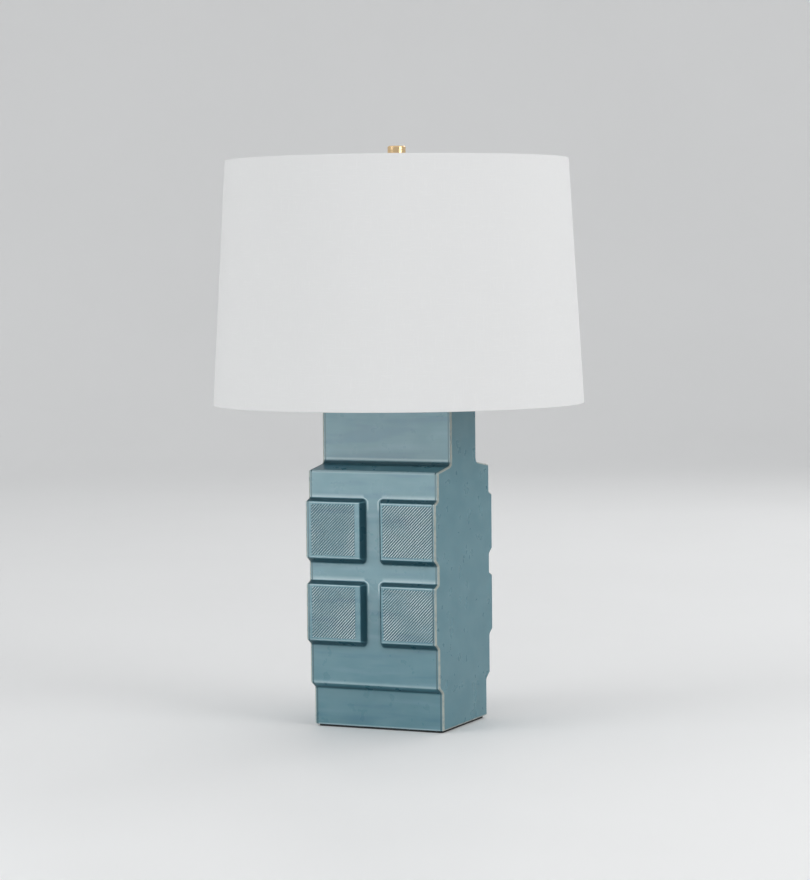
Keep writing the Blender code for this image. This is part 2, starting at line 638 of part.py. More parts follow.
# ---------------------------------------------------------------- socket and switch
def socket(brass, card, phenolic, aluminium, steel):
    place = (0, 0, SOCKET_Z)
    socket_cap(brass, place)
    inner = SHELL_RADIUS - SHELL_WALL
    shell_profile = [
        (inner, SHELL_BOTTOM),
        (SHELL_RADIUS, SHELL_BOTTOM),
        (SHELL_RADIUS, SHELL_TOP - 2 * SHELL_BEAD),
        (SHELL_RADIUS + SHELL_BEAD, SHELL_TOP - SHELL_BEAD),
        (SHELL_RADIUS, SHELL_TOP),
        (inner, SHELL_TOP),
    ]
    shell = turned("socket_shell", shell_profile, brass, location=place)
    liner_low, liner_high = SHELL_BOTTOM + GAP, SHELL_TOP + LINER_PROUD
    liner_profile = tube_profile(LINER_RADIUS, LINER_RADIUS - LINER_WALL, liner_low, liner_high)
    liner = turned("socket_liner", liner_profile, card, location=place)
    block_profile = rod_profile(INSULATOR_RADIUS, liner_low + GAP, BLOCK_INSULATOR_TOP)
    block = turned("socket_block", block_profile, phenolic, location=place)
    bushing_hole = BUSHING_DIAMETER / 2 + GAP
    outside, inside = -SHELL_RADIUS - SHELL_BEAD - PAST, -INSULATOR_RADIUS + PAST
    drill_y(shell, "shell_switch_cutter", bushing_hole, SWITCH_Z, outside, inside)
    drill_y(liner, "liner_switch_cutter", bushing_hole, SWITCH_Z, outside, inside)
    drill_y(block, "block_switch_cutter", STEM_DIAMETER / 2 + GAP, SWITCH_Z, outside, -STEM_INNER_END + GAP)
    socket_screw_shell(aluminium)
    contact_tab(brass)
    terminal_screws(block, brass, steel)
    switch(phenolic, brass, steel)


def socket_cap(surface, place):
    """A hub around the rod, a cone and a straight rim that takes the shell."""
    rim_inner = SHELL_RADIUS + GAP
    rim = rim_inner + CAP_RIM_WALL
    hub = CAP_HUB_DIAMETER / 2
    cone_low = CAP_WALL / 2
    profile = [
        (ROD_CLEARANCE, 0),
        (hub, 0),
        (hub + CAP_BEND, cone_low),
        (rim - CAP_BEND, CAP_RIM_BOTTOM - CAP_BEND),
        (rim, CAP_RIM_BOTTOM),
        (rim, CAP_RIM_TOP),
        (rim_inner, CAP_RIM_TOP),
        (rim_inner, CAP_RIM_BOTTOM),
        (rim_inner - CAP_BEND, CAP_RIM_BOTTOM - CAP_BEND + CAP_WALL / 2),
        (hub, cone_low + CAP_WALL),
        (hub, CAP_HUB_HEIGHT),
        (ROD_CLEARANCE, CAP_HUB_HEIGHT),
    ]
    turned("socket_cap", profile, surface, location=place)


def socket_screw_shell(surface):
    """The threaded cup that the bulb screws into, open at its bottom for the contact tab."""
    outer, inner = SCREW_SHELL_RADIUS, SCREW_SHELL_RADIUS - SCREW_SHELL_WALL
    floor = SCREW_SHELL_BOTTOM + SCREW_SHELL_WALL
    profile = [
        (SCREW_SHELL_HOLE / 2, SCREW_SHELL_BOTTOM),
        (outer, SCREW_SHELL_BOTTOM),
        (outer, SHELL_TOP),
        (inner, SHELL_TOP),
        (inner, floor),
        (SCREW_SHELL_HOLE / 2, floor),
    ]
    turned("socket_screw_shell", profile, surface, location=(0, 0, SOCKET_Z))


def contact_tab(surface):
    """A sprung strip on the block, bent up under the bulb's contact."""
    thick, half = TAB_THICKNESS, SCREW_SHELL_HOLE / 2 - 2 * GAP
    low = BLOCK_INSULATOR_TOP + GAP
    high = SCREW_SHELL_BOTTOM + SCREW_SHELL_WALL + BULB_CONTACT_CLEARANCE - GAP
    outline = [
        (-half, low),
        (0.2 * half, low),
        (0.9 * half, high - thick),
        (0.9 * half, high),
        (0.1 * half, high),
        (0.1 * half, high - thick),
        (0.5 * half, high - thick),
        (0.05 * half, low + thick),
        (-half, low + thick),
    ]
    tab = prism("socket_contact_tab", outline, TAB_WIDTH, surface)
    tab.location = (0, 0, SOCKET_Z)


def terminal_screws(block, brass, steel):
    head, shank = TERMINAL_HEAD_DIAMETER / 2, TERMINAL_SHANK_DIAMETER / 2
    head_low = INSULATOR_RADIUS + GAP
    profile = [
        (0, head_low - TERMINAL_SHANK_LENGTH),
        (shank, head_low - TERMINAL_SHANK_LENGTH),
        (shank, head_low),
        (head, head_low),
        (head, head_low + TERMINAL_HEAD_THICKNESS),
        (0, head_low + TERMINAL_HEAD_THICKNESS),
    ]
    hole = rod_profile(shank + GAP, head_low - TERMINAL_SHANK_LENGTH - GAP, head_low + PAST)
    for side, label, surface in ((1, "line", brass), (-1, "neutral", steel)):
        turn = (0, math.radians(90 * side), 0)
        place = (0, 0, SOCKET_Z + TERMINAL_HEIGHT)
        screw = turned(f"terminal_screw_{label}", profile, surface, sides=16, location=place)
        cutter = turned(f"terminal_cutter_{label}", hole, None, sides=16, location=place)
        screw.rotation_euler = turn
        cutter.rotation_euler = turn
        boolean(block, cutter, "DIFFERENCE")


def switch(phenolic, brass, steel):
    """Rotary switch: its stem points to -Y, through a bushing in the shell, and carries a paddle knob."""
    place = (0, 0, SWITCH_Z)
    stem_end = STEM_INNER_END + STEM_LENGTH
    turned("switch_stem", rod_profile(STEM_DIAMETER / 2, STEM_INNER_END, stem_end), steel, 20, place, True)
    stem_hole = STEM_DIAMETER / 2 + GAP
    bushing_low = INSULATOR_RADIUS + GAP
    bushing_high = SHELL_RADIUS + BUSHING_PROUD
    bushing = tube_profile(BUSHING_DIAMETER / 2, stem_hole, bushing_low, bushing_high)
    turned("switch_bushing", bushing, brass, 24, place, True)
    knob_low = bushing_high + 2 * GAP
    collar_high = knob_low + KNOB_COLLAR
    collar = rod_profile(KNOB_DIAMETER / 2, knob_low, collar_high)
    knob = turned("switch_knob", collar, phenolic, 24, place, True)
    paddle_low = (-PADDLE_WIDTH / 2, -collar_high - PADDLE_LENGTH, SWITCH_Z - PADDLE_THICKNESS / 2)
    paddle_high = (PADDLE_WIDTH / 2, -collar_high + KNOB_FACE, SWITCH_Z + PADDLE_THICKNESS / 2)
    boolean(knob, box("paddle_shape", paddle_low, paddle_high), "UNION")
    drill_y(knob, "knob_bore_cutter", stem_hole, SWITCH_Z, -stem_end - GAP, -knob_low + PAST)


# ---------------------------------------------------------------- bulb
def bulb(metal, black_plastic, white_plastic, opal):
    insulator_low = BULB_CONTACT_HEIGHT + GAP
    screw_low = insulator_low + BULB_INSULATOR_HEIGHT + GAP
    housing_low = screw_low + BULB_SCREW_HEIGHT + GAP
    bulb_foot(metal, black_plastic, insulator_low)
    bulb_screw_base(metal, screw_low)
    radius = BULB_DIAMETER / 2
    centre = BULB_LENGTH - radius
    seam_angle = math.asin((BULB_SEAM_HEIGHT - centre) / radius)
    mouth = radius * math.cos(seam_angle)
    bulb_housing(metal, white_plastic, housing_low, mouth)
    dome_start = seam_angle + GAP / radius
    dome_angles = [dome_start + (math.pi / 2 - dome_start) * step / 9 for step in range(10)]
    outside = dome_line(dome_angles, radius, centre)
    inside = dome_line(dome_angles, radius - BULB_DIFFUSER_WALL, centre)
    turned("bulb_diffuser", inside[::-1] + outside, opal, location=(0, 0, BULB_Z))


def bulb_foot(metal, black_plastic, insulator_low):
    """The contact and the insulator around it."""
    contact_radius, insulator_radius = BULB_CONTACT_DIAMETER / 2, BULB_SCREW_DIAMETER / 2 - BULB_SCREW_TAPER
    insulator_high = insulator_low + BULB_INSULATOR_HEIGHT
    contact = [
        (0, 0),
        (0.6 * contact_radius, 0),
        (contact_radius, 0.5 * BULB_CONTACT_HEIGHT),
        (contact_radius, BULB_CONTACT_HEIGHT),
        (0, BULB_CONTACT_HEIGHT),
    ]
    insulator = [
        (0, insulator_low),
        (contact_radius, insulator_low),
        (insulator_radius, insulator_high - BULB_INSULATOR_EDGE),
        (insulator_radius, insulator_high),
        (0, insulator_high),
    ]
    turned("bulb_contact", contact, metal, 24, (0, 0, BULB_Z))
    turned("bulb_insulator", insulator, black_plastic, 24, (0, 0, BULB_Z))


def bulb_screw_base(surface, low):
    """The metal cap, which the lamp's screw shell grips."""
    radius, high = BULB_SCREW_DIAMETER / 2, low + BULB_SCREW_HEIGHT
    inner, rim, taper_top = radius - BULB_SCREW_WALL, radius - BULB_SCREW_TAPER, low + BULB_SCREW_TAPER
    profile = [
        (rim - BULB_SCREW_WALL, low),
        (rim, low),
        (radius, taper_top),
        (radius, high),
        (inner, high),
        (inner, taper_top + BULB_SCREW_WALL),
    ]
    turned("bulb_screw_base", profile, surface, location=(0, 0, BULB_Z))


def bulb_housing(metal, surface, low, mouth):
    """The flared plastic body, with the board of light-emitting diodes under its mouth."""
    wall = 2 * BULB_DIFFUSER_WALL
    screw, flare = BULB_SCREW_DIAMETER / 2, BULB_FLARE_DIAMETER / 2
    profile = [
        (screw - wall, low),
        (screw + BULB_COLLAR_PROUD, low),
        (screw + BULB_COLLAR_PROUD, low + BULB_COLLAR_HEIGHT),
        (flare, low + BULB_FLARE_HEIGHT),
        (mouth, BULB_SEAM_HEIGHT),
        (mouth - wall, BULB_SEAM_HEIGHT),
        (flare - wall, low + BULB_FLARE_HEIGHT),
    ]
    turned("bulb_housing", profile, surface, location=(0, 0, BULB_Z))
    board_low = BULB_SEAM_HEIGHT - BULB_BOARD_DROP
    board = rod_profile(mouth - wall - BULB_BOARD_CLEARANCE, board_low, board_low + BULB_BOARD_THICKNESS)
    turned("bulb_led_board", board, metal, 24, (0, 0, BULB_Z))


def dome_line(angles, radius, centre):
    """(radius, height) points up a dome, the last one on the axis."""
    line = [(radius * math.cos(angle), centre + radius * math.sin(angle)) for angle in angles[:-1]]
    return line + [(0, centre + radius)]


# ---------------------------------------------------------------- shade
def shade_radius(z):
    """Outside radius of the fabric at a height."""
    share = (z - SHADE_BOTTOM_Z) / SHADE_HEIGHT
    return (SHADE_BOTTOM_DIAMETER + share * (SHADE_TOP_DIAMETER - SHADE_BOTTOM_DIAMETER)) / 2


def cone_shell(name, inset, thickness, low, high, surface):
    profile = [
        (shade_radius(low) - inset - thickness, low),
        (shade_radius(low) - inset, low),
        (shade_radius(high) - inset, high),
        (shade_radius(high) - inset - thickness, high),
    ]
    return turned(name, profile, surface, ROUND_LARGE)


def hem(name, edge, inwards, cloth):
    """The cloth turned over the wire ring at one edge. Inwards is +1 where the shade lies above the edge."""
    outer = min(shade_radius(edge), shade_radius(edge + inwards * HEM_HEIGHT)) - FABRIC_THICKNESS - GAP
    inner = ring_radius(edge, inwards) - RING_WIRE / 2 - GAP - HEM_THICKNESS
    turn, end = edge + inwards * HEM_THICKNESS, edge + inwards * HEM_HEIGHT
    profile = [
        (outer, edge),
        (inner, edge),
        (inner, end),
        (inner + HEM_THICKNESS, end),
        (inner + HEM_THICKNESS, turn),
        (outer, turn),
    ]
    return turned(name, profile, cloth, ROUND_LARGE)


def ring_radius(edge, inwards):
    """Centreline radius of the wire ring at one edge, just inside the styrene."""
    z = edge + inwards * (HEM_THICKNESS + GAP + RING_WIRE / 2)
    lining = FABRIC_THICKNESS + GAP + STYRENE_THICKNESS
    tightest = min(shade_radius(z + RING_WIRE / 2), shade_radius(z - RING_WIRE / 2))
    return tightest - lining - GAP - RING_WIRE / 2


def ring_height(edge, inwards):
    return edge + inwards * (HEM_THICKNESS + GAP + RING_WIRE / 2)


def wire_ring(name, edge, inwards, surface):
    sides = 8
    radius, height = ring_radius(edge, inwards), ring_height(edge, inwards)
    turns = [math.tau * i / sides for i in range(sides)]
    section = [(radius + RING_WIRE / 2 * math.cos(a), height + RING_WIRE / 2 * math.sin(a)) for a in turns]
    turned(name, section, surface, ROUND_LARGE)


def spider(steel, top_hem):
    """Hub washer and the arms that climb from it to the top ring, through notches in the hem."""
    hole = STUD_THREAD_DIAMETER / 2 + GAP
    turned("spider_hub", tube_profile(HUB_DIAMETER / 2, hole, HUB_Z, HUB_Z + HUB_THICKNESS), steel)
    arm_z = HUB_Z + HUB_THICKNESS / 2
    ring_z = ring_height(SHADE_TOP_Z, -1)
    start = HUB_DIAMETER / 2 + GAP
    end = ring_radius(SHADE_TOP_Z, -1) * math.cos(math.pi / ROUND_LARGE) - RING_WIRE / 2 - GAP
    rise_end = end - ARM_END_FLAT
    rise_start = rise_end - ARM_RISE_RUN
    third = ARM_RISE_RUN / 3
    middle = bezier(
        (rise_start, arm_z), (rise_start + third, arm_z), (rise_end - third, ring_z), (rise_end, ring_z), 6
    )
    line = [Vector((start, arm_z))] + middle + [Vector((rise_end, ring_z)), Vector((end, ring_z))]
    for number in range(SPIDER_ARMS):
        angle = math.radians(90) + math.tau * number / SPIDER_ARMS
        along = [(r * math.cos(angle), r * math.sin(angle), z) for r, z in line]
        wire(f"spider_arm_{number + 1}", along, SPIDER_WIRE, steel)
        notch_shape = rod_profile(SPIDER_WIRE / 2 + GAP, rise_end, end)
        notch = turned(f"notch_cutter_{number + 1}", notch_shape, None, 16)
        notch.rotation_euler = (0, math.radians(90), angle)
        notch.location = (0, 0, ring_z)
        boolean(top_hem, notch, "DIFFERENCE")


def shade(cloth, lining, steel):
    lining_inset = FABRIC_THICKNESS + GAP
    edge_clearance = HEM_THICKNESS + GAP
    cone_shell("shade_fabric", 0, FABRIC_THICKNESS, SHADE_BOTTOM_Z, SHADE_TOP_Z, cloth)
    low, high = SHADE_BOTTOM_Z + edge_clearance, SHADE_TOP_Z - edge_clearance
    cone_shell("shade_styrene", lining_inset, STYRENE_THICKNESS, low, high, lining)
    wire_ring("shade_top_ring", SHADE_TOP_Z, -1, steel)
    wire_ring("shade_bottom_ring", SHADE_BOTTOM_Z, 1, steel)
    top_hem = hem("shade_top_hem", SHADE_TOP_Z, -1, cloth)
    hem("shade_bottom_hem", SHADE_BOTTOM_Z, 1, cloth)
    spider(steel, top_hem)


# ---------------------------------------------------------------- finial
def finial(brass):
    base, waist, radius = FINIAL_BASE_DIAMETER / 2, FINIAL_WAIST_DIAMETER / 2, FINIAL_DIAMETER / 2
    bore, knob_low = FINIAL_BORE_DIAMETER / 2, FINIAL_WAIST_HIGH + FINIAL_UNDERCUT
    profile = [
        (0, FINIAL_BORE_DEPTH),
        (bore, FINIAL_BORE_DEPTH),
        (bore, 0),
        (base, 0),
        (base, FINIAL_BASE_HEIGHT),
        (waist, FINIAL_WAIST_LOW),
        (waist, FINIAL_WAIST_HIGH),
        (radius - FINIAL_CHAMFER, knob_low),
        (radius, knob_low + FINIAL_CHAMFER),
        (radius, FINIAL_HEIGHT - FINIAL_CHAMFER),
        (radius - FINIAL_CHAMFER, FINIAL_HEIGHT),
        (0, FINIAL_HEIGHT),
    ]
    turned("finial_knob", profile, brass, location=(0, 0, FINIAL_Z))
    insert = tube_profile(bore - GAP, STUD_THREAD_DIAMETER / 2 + GAP, GAP, GAP + INSERT_HEIGHT)
    turned("finial_insert", insert, brass, 24, (0, 0, FINIAL_Z))


def main():
    clear_scene()
    glaze = material("blue_glaze", (0.135, 0.255, 0.300), 0.28)
    felt = material("black_felt", (0.02, 0.02, 0.02), 0.95)
    rubber = material("black_rubber", (0.03, 0.03, 0.03), 0.7)
    steel = material("zinc_steel", (0.62, 0.62, 0.60), 0.35, 1.0)
    brass = material("aged_brass", (0.78, 0.55, 0.25), 0.28, 1.0)
    card = material("socket_card", (0.16, 0.15, 0.14), 0.85)
    phenolic = material("black_phenolic", (0.03, 0.028, 0.026), 0.35)
    aluminium = material("screw_shell_aluminium", (0.75, 0.75, 0.74), 0.3, 1.0)
    nickel = material("nickel_plate", (0.70, 0.69, 0.66), 0.25, 1.0)
    white_plastic = material("white_plastic", (0.82, 0.82, 0.80), 0.4)
    opal = material("opal_plastic", (0.90, 0.89, 0.86), 0.5)
    cloth = material("white_linen", (0.86, 0.86, 0.85), 0.9)
    lining = material("white_styrene", (0.90, 0.90, 0.89), 0.5)
    ceramic_body(glaze)
    base_fixings(felt, steel, rubber)
    neck_hardware(rubber, brass)
    harp(steel, brass)
    socket(brass, card, phenolic, aluminium, steel)
    bulb(nickel, phenolic, white_plastic, opal)
    shade(cloth, lining, steel)
    finial(brass)


main()
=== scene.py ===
"""Looks of the table lamp: glazed ceramic base, lamp hardware, LED bulb and white linen drum shade.

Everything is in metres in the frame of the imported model: +Z up, origin on the table under the base's middle,
relief faces towards -Y and +Y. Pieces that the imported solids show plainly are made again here, finely.
"""

import json
import math

import bmesh
import bpy
import numpy as np
from mathutils import Matrix, Vector, noise

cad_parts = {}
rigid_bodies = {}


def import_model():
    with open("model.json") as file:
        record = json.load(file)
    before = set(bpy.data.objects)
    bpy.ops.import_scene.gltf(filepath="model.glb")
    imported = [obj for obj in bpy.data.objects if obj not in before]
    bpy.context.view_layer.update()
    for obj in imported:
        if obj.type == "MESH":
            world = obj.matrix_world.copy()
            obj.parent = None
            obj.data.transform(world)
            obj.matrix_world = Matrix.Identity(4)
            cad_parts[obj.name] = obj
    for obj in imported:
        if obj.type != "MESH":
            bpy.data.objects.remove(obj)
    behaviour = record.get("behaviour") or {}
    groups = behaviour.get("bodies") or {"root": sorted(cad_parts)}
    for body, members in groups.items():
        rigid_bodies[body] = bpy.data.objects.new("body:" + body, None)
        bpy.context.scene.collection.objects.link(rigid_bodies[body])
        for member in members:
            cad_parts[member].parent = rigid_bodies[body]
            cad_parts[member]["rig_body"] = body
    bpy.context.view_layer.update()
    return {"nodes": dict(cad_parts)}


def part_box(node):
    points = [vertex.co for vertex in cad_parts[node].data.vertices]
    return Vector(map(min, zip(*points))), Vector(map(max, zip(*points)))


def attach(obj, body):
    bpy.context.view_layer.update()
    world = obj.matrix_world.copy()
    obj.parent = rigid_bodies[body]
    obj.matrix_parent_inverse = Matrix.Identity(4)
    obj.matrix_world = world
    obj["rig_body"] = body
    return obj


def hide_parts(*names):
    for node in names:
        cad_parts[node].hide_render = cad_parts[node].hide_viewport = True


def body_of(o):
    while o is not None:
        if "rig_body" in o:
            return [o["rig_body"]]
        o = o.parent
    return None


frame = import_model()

MM = 0.001

# ---------------------------------------------------------------- ceramic base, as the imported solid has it
BODY_LOW, BODY_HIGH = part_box("ceramic_body")
BODY_HEIGHT = BODY_HIGH.z - BODY_LOW.z
BODY_SIDE = BODY_HIGH.x              # half the width
BLOCK_RELIEF = 8.5 * MM
BODY_BAND = BODY_HIGH.y - BLOCK_RELIEF
BODY_FOOT = 61 * MM                  # half depths of the foot and the neck
BODY_NECK = 34.5 * MM
BODY_WALL = 7 * MM
FOOT_HEIGHT = 40.7 * MM
FOOT_STEP = 6.5 * MM
SHOULDER_HEIGHT = 279.5 * MM
SHOULDER_RISE = 5.5 * MM
SIDE_ROUNDING = 2.2 * MM
BLOCK_FACE = 60 * MM
BLOCK_PITCH = 90 * MM
BLOCK_FIRST = 95.7 * MM
BLOCK_LOWS = (BLOCK_FIRST, BLOCK_FIRST + BLOCK_PITCH)   # the faces' lower edges
BLOCK_SLOPE_BELOW = 7.5 * MM
BLOCK_SLOPE_ABOVE = 4.5 * MM
CHANNEL = 7.25 * MM                  # half the width of the channel between the blocks
CHANNEL_SLOPE = 5.5 * MM
BASE_EASE, RIM_EASE = 0.34, 0.16     # share of a block's wall that is rounded at its foot and at its rim
RECESS_HEIGHT = 20 * MM
FLOOR_THICKNESS = 7 * MM
FLOOR_HOLE = 25 * MM
ROD_HOLE = 6.5 * MM
CORD_HOLE = 6.35 * MM
CORD_HEIGHT = 10 * MM

# Combed ridges on the block faces
RIDGE_PITCH = 2.37 * MM
RIDGE_DEPTH = 0.80 * MM
RIDGE_MARGIN_OUTER = (6.5 * MM, 3.0 * MM)   # smooth strip at the base's corner: left block, right block
RIDGE_MARGIN_INNER = (5.0 * MM, 1.6 * MM)   # smooth strip at the channel
RIDGE_MARGIN_ENDS = 1.6 * MM
RIDGE_FADE = 1.2 * MM
FINE = 0.45 * MM                     # mesh step on the ridged faces
COARSE = 6 * MM                      # and on the plain ones
WAVINESS = 0.22 * MM                 # slip-cast walls are never quite flat

# Round pieces
SHADE_SIDES = 288
ROUND_SIDES = 96
FINE_PITCH = 0.94 * MM               # thread of the rod and of the stud
SCREW_PITCH = 3.63 * MM              # thread of the bulb and of its socket
LINEN_THREADS = 0.42 * MM            # from thread to thread of the shade's cloth
NEARLY_ZERO = 1e-6


# ---------------------------------------------------------------- materials
class Look:
    """One procedural material. Sockets that stay the same all over are set on the shader itself."""

    def __init__(self, name, **sockets):
        self.material = bpy.data.materials.new(name)
        self.material.use_nodes = True
        self.tree = self.material.node_tree
        self.shader = self.tree.nodes["Principled BSDF"]
        self.place = self.tree.nodes.new("ShaderNodeTexCoord").outputs["Object"]
        for socket, value in sockets.items():
            self.shader.inputs[socket.replace("_", " ")].default_value = value

    def add(self, kind, inputs=None, **settings):
        node = self.tree.nodes.new("ShaderNode" + kind)
        for name, value in settings.items():
            setattr(node, name, value)
        for name, value in (inputs or {}).items():
            if isinstance(value, bpy.types.NodeSocket):
                self.tree.links.new(value, node.inputs[name])
            else:
                node.inputs[name].default_value = value
        return node

    def noise(self, scale, stretch=(1, 1, 1), detail=3.0, roughness=0.5, place=None):
        """Noise whose grains are about 1 / scale metres across, drawn out where stretch is below 1."""
        mapping = self.add("Mapping", {"Vector": place or self.place, "Scale": stretch})
        inputs = {"Vector": mapping.outputs[0], "Scale": scale, "Detail": detail, "Roughness": roughness}
        return self.add("TexNoise", inputs).outputs[0]

    def attribute(self, name):
        return self.add("Attribute", attribute_name=name).outputs["Fac"]

    def spread(self, value, low, high, to_low=0.0, to_high=1.0):
        """Maps low..high to to_low..to_high, held at both ends."""
        inputs = {"Value": value, "From Min": low, "From Max": high, "To Min": to_low, "To Max": to_high}
        return self.add("MapRange", inputs, interpolation_type="SMOOTHSTEP").outputs[0]

    def maths(self, operation, first, second=0.0):
        return self.add("Math", {0: first, 1: second}, operation=operation).outputs[0]

    def mixed(self, share, first, second):
        node = self.add("Mix", data_type="RGBA")
        for index, value in ((0, share), (6, first), (7, second)):
            if isinstance(value, bpy.types.NodeSocket):
                self.tree.links.new(value, node.inputs[index])
            else:
                node.inputs[index].default_value = value if index == 0 else (*value, 1.0)
        return node.outputs[2]

    def feed(self, socket, value):
        self.tree.links.new(value, self.shader.inputs[socket])

    def bump(self, height, distance):
        """Adds to the bumps made so far."""
        node = self.add("Bump", {"Height": height, "Distance": distance, "Strength": 1.0})
        normal = self.shader.inputs["Normal"]
        if normal.links:
            self.tree.links.new(normal.links[0].from_socket, node.inputs["Normal"])
        self.tree.links.new(node.outputs[0], normal)


def glaze_look():
    """Satin blue-green glaze: thin and tan on sharp corners; painted shade on the blocks' walls (partly deep
    glaze pooled there), under the blocks, in the hollows and in the ridges' valleys; painted highlights on
    rims, crests and along the walls' feet.
    """
    look = Look("blue_glaze_satin", IOR=1.4)
    tone, edge, ridge = look.attribute("tone"), look.attribute("edge"), look.attribute("ridge")
    cloud = look.noise(28, (1, 1, 1.6), 4.0)
    streak = look.noise(13, (1, 1, 8), 2.0, 0.4)
    patches = look.noise(17, detail=1.0)
    grain = look.noise(900, detail=2.0)
    colour = look.mixed(look.spread(cloud, 0.35, 0.68), (0.069, 0.184, 0.226), (0.084, 0.202, 0.243))
    pale_streak = look.maths("MULTIPLY", look.spread(streak, 0.50, 0.74, 0.0, 0.60), look.attribute("face"))
    deep_streak = look.maths("MULTIPLY", look.spread(streak, 0.48, 0.30, 0.0, 0.65), look.attribute("face"))
    colour = look.mixed(pale_streak, colour, (0.120, 0.240, 0.300))
    colour = look.mixed(deep_streak, colour, (0.042, 0.138, 0.200))
    colour = look.mixed(look.spread(grain, 0.60, 0.75, 0.0, 0.03), colour, (0.050, 0.130, 0.158))
    # tone below 0 is painted shade (partly deep glaze pooled on the blocks' walls); tone above 0 is a painted
    # highlight
    colour = look.mixed(look.spread(tone, 0.0, -1.0), colour, (0.017, 0.062, 0.083))
    colour = look.mixed(look.spread(tone, 0.05, 1.0, 0.0, 0.80), colour, (0.400, 0.540, 0.580))
    # Painted shade in the ridges' valleys and painted highlights on their crests, stronger in noise patches
    ridge_light_strength = look.spread(patches, 0.38, 0.60, 0.50, 1.0)
    valley_shade = look.maths("MULTIPLY", look.spread(ridge, 0.42, 0.02), ridge_light_strength)
    colour = look.mixed(valley_shade, colour, (0.003, 0.016, 0.025))
    crest_highlight = look.maths("MULTIPLY", look.spread(ridge, 0.66, 1.0), ridge_light_strength)
    colour = look.mixed(crest_highlight, colour, (0.700, 0.760, 0.770))
    worn = look.spread(look.noise(220, detail=3.0), 0.25, 0.6, 0.55, 0.90)
    thin = look.maths("MULTIPLY", look.spread(edge, 0.05, 0.85), worn)
    colour = look.mixed(thin, colour, (0.390, 0.410, 0.370))
    colour = look.mixed(look.spread(edge, -0.05, -0.7), colour, (0.030, 0.090, 0.112))
    look.feed("Base Color", colour)
    look.feed("Roughness", look.spread(look.noise(60, detail=3.0), 0.3, 0.7, 0.27, 0.32))
    look.bump(look.noise(120, detail=1.0), 0.08 * MM)
    look.bump(look.noise(1500, detail=2.0), 0.002 * MM)
    return look.material


def metal_look(name, colour, worn, roughness, rings=True, scale=1.0):
    """Turned or brushed metal: fine tool rings, cloudy tone and a few dull spots."""
    look = Look(name, Metallic=1.0)
    cloud = look.noise(140 * scale, detail=4.0)
    spots = look.noise(650, detail=3.0)
    tone = look.mixed(look.spread(cloud, 0.35, 0.70, 0.0, 0.35), colour, worn)
    look.feed("Base Color", look.mixed(look.spread(spots, 0.62, 0.75, 0.0, 0.35), tone, worn))
    look.feed("Roughness", look.spread(look.noise(300, detail=3.0), 0.3, 0.7, roughness, roughness + 0.12))
    if rings:
        look.bump(look.noise(60, (1, 1, 90), 3.0), 0.004 * MM)
    look.bump(look.noise(2600, detail=2.0), 0.003 * MM)
    return look.material


def moulded_look(name, colour, shadow, roughness, grain=900, depth=0.02):
    """Moulded plastic or rubber: fine pebble, slight tone clouds and dulled patches."""
    look = Look(name)
    tone = look.mixed(look.spread(look.noise(90, detail=4.0), 0.3, 0.7), colour, shadow)
    look.feed("Base Color", tone)
    look.feed("Roughness", look.spread(look.noise(240, detail=3.0), 0.3, 0.7, roughness, roughness + 0.12))
    look.bump(look.noise(grain, detail=2.0), depth * MM)
    return look.material


def fibre_look(name, colour, shadow, scale, depth, roughness=0.95):
    """Felt or card: short tangled fibres."""
    look = Look(name)
    fibres = look.noise(scale, (1, 0.3, 1), 5.0, 0.7)
    across = look.noise(scale, (0.3, 1, 1), 5.0, 0.7)
    tangle = look.maths("MULTIPLY", fibres, across)
    look.feed("Base Color", look.mixed(look.spread(tangle, 0.14, 0.38), shadow, colour))
    look.feed("Roughness", look.spread(tangle, 0.1, 0.4, roughness - 0.08, roughness))
    look.bump(tangle, depth * MM)
    return look.material


def linen_look():
    """Fine plain-woven white linen with slubs, glued flat and laid out on the UV map."""
    look = Look("white_linen_weave", Sheen_Weight=0.25, Sheen_Roughness=0.5, IOR=1.4)
    flat = look.add("TexCoord").outputs["UV"]
    parts = look.add("SeparateXYZ", {0: flat})
    turns = math.tau / LINEN_THREADS
    wobble = look.spread(look.noise(160, detail=3.0, place=flat), 0.3, 0.7, -1.2, 1.2)
    waves = []
    for axis in ("X", "Y"):
        angle = look.maths("ADD", look.maths("MULTIPLY", parts.outputs[axis], turns), wobble)
        waves.append(look.maths("SINE", angle))
    weave = look.maths("MULTIPLY", waves[0], waves[1])
    slub_across = look.noise(700, (0.07, 1, 1), 3.0, 0.6, flat)
    slub_along = look.noise(700, (1, 0.07, 1), 3.0, 0.6, flat)
    slubs = look.maths("MAXIMUM", slub_across, slub_along)
    colour = look.mixed(look.spread(slubs, 0.52, 0.72, 0.0, 0.5), (0.768, 0.769, 0.768), (0.812, 0.813, 0.811))
    colour = look.mixed(look.spread(weave, 0.0, -1.0, 0.0, 0.14), colour, (0.560, 0.560, 0.550))
    look.feed("Base Color", colour)
    look.feed("Roughness", look.spread(slubs, 0.4, 0.7, 0.82, 0.95))
    look.bump(weave, 0.030 * MM)
    look.bump(slubs, 0.025 * MM)
    return look.material


def styrene_look():
    """Glossy white backing sheet with faint waves from being rolled and glued."""
    look = Look("white_styrene_sheet", IOR=1.55)
    tone = look.spread(look.noise(14, (1, 1, 0.4), 3.0), 0.3, 0.7)
    look.feed("Base Color", look.mixed(tone, (0.80, 0.80, 0.79), (0.86, 0.86, 0.85)))
    look.feed("Roughness", look.spread(look.noise(60, detail=3.0), 0.3, 0.7, 0.30, 0.40))
    look.bump(look.noise(40, (1, 1, 0.3), 2.0), 0.15 * MM)
    look.bump(look.noise(1200, detail=2.0), 0.006 * MM)
    return look.material


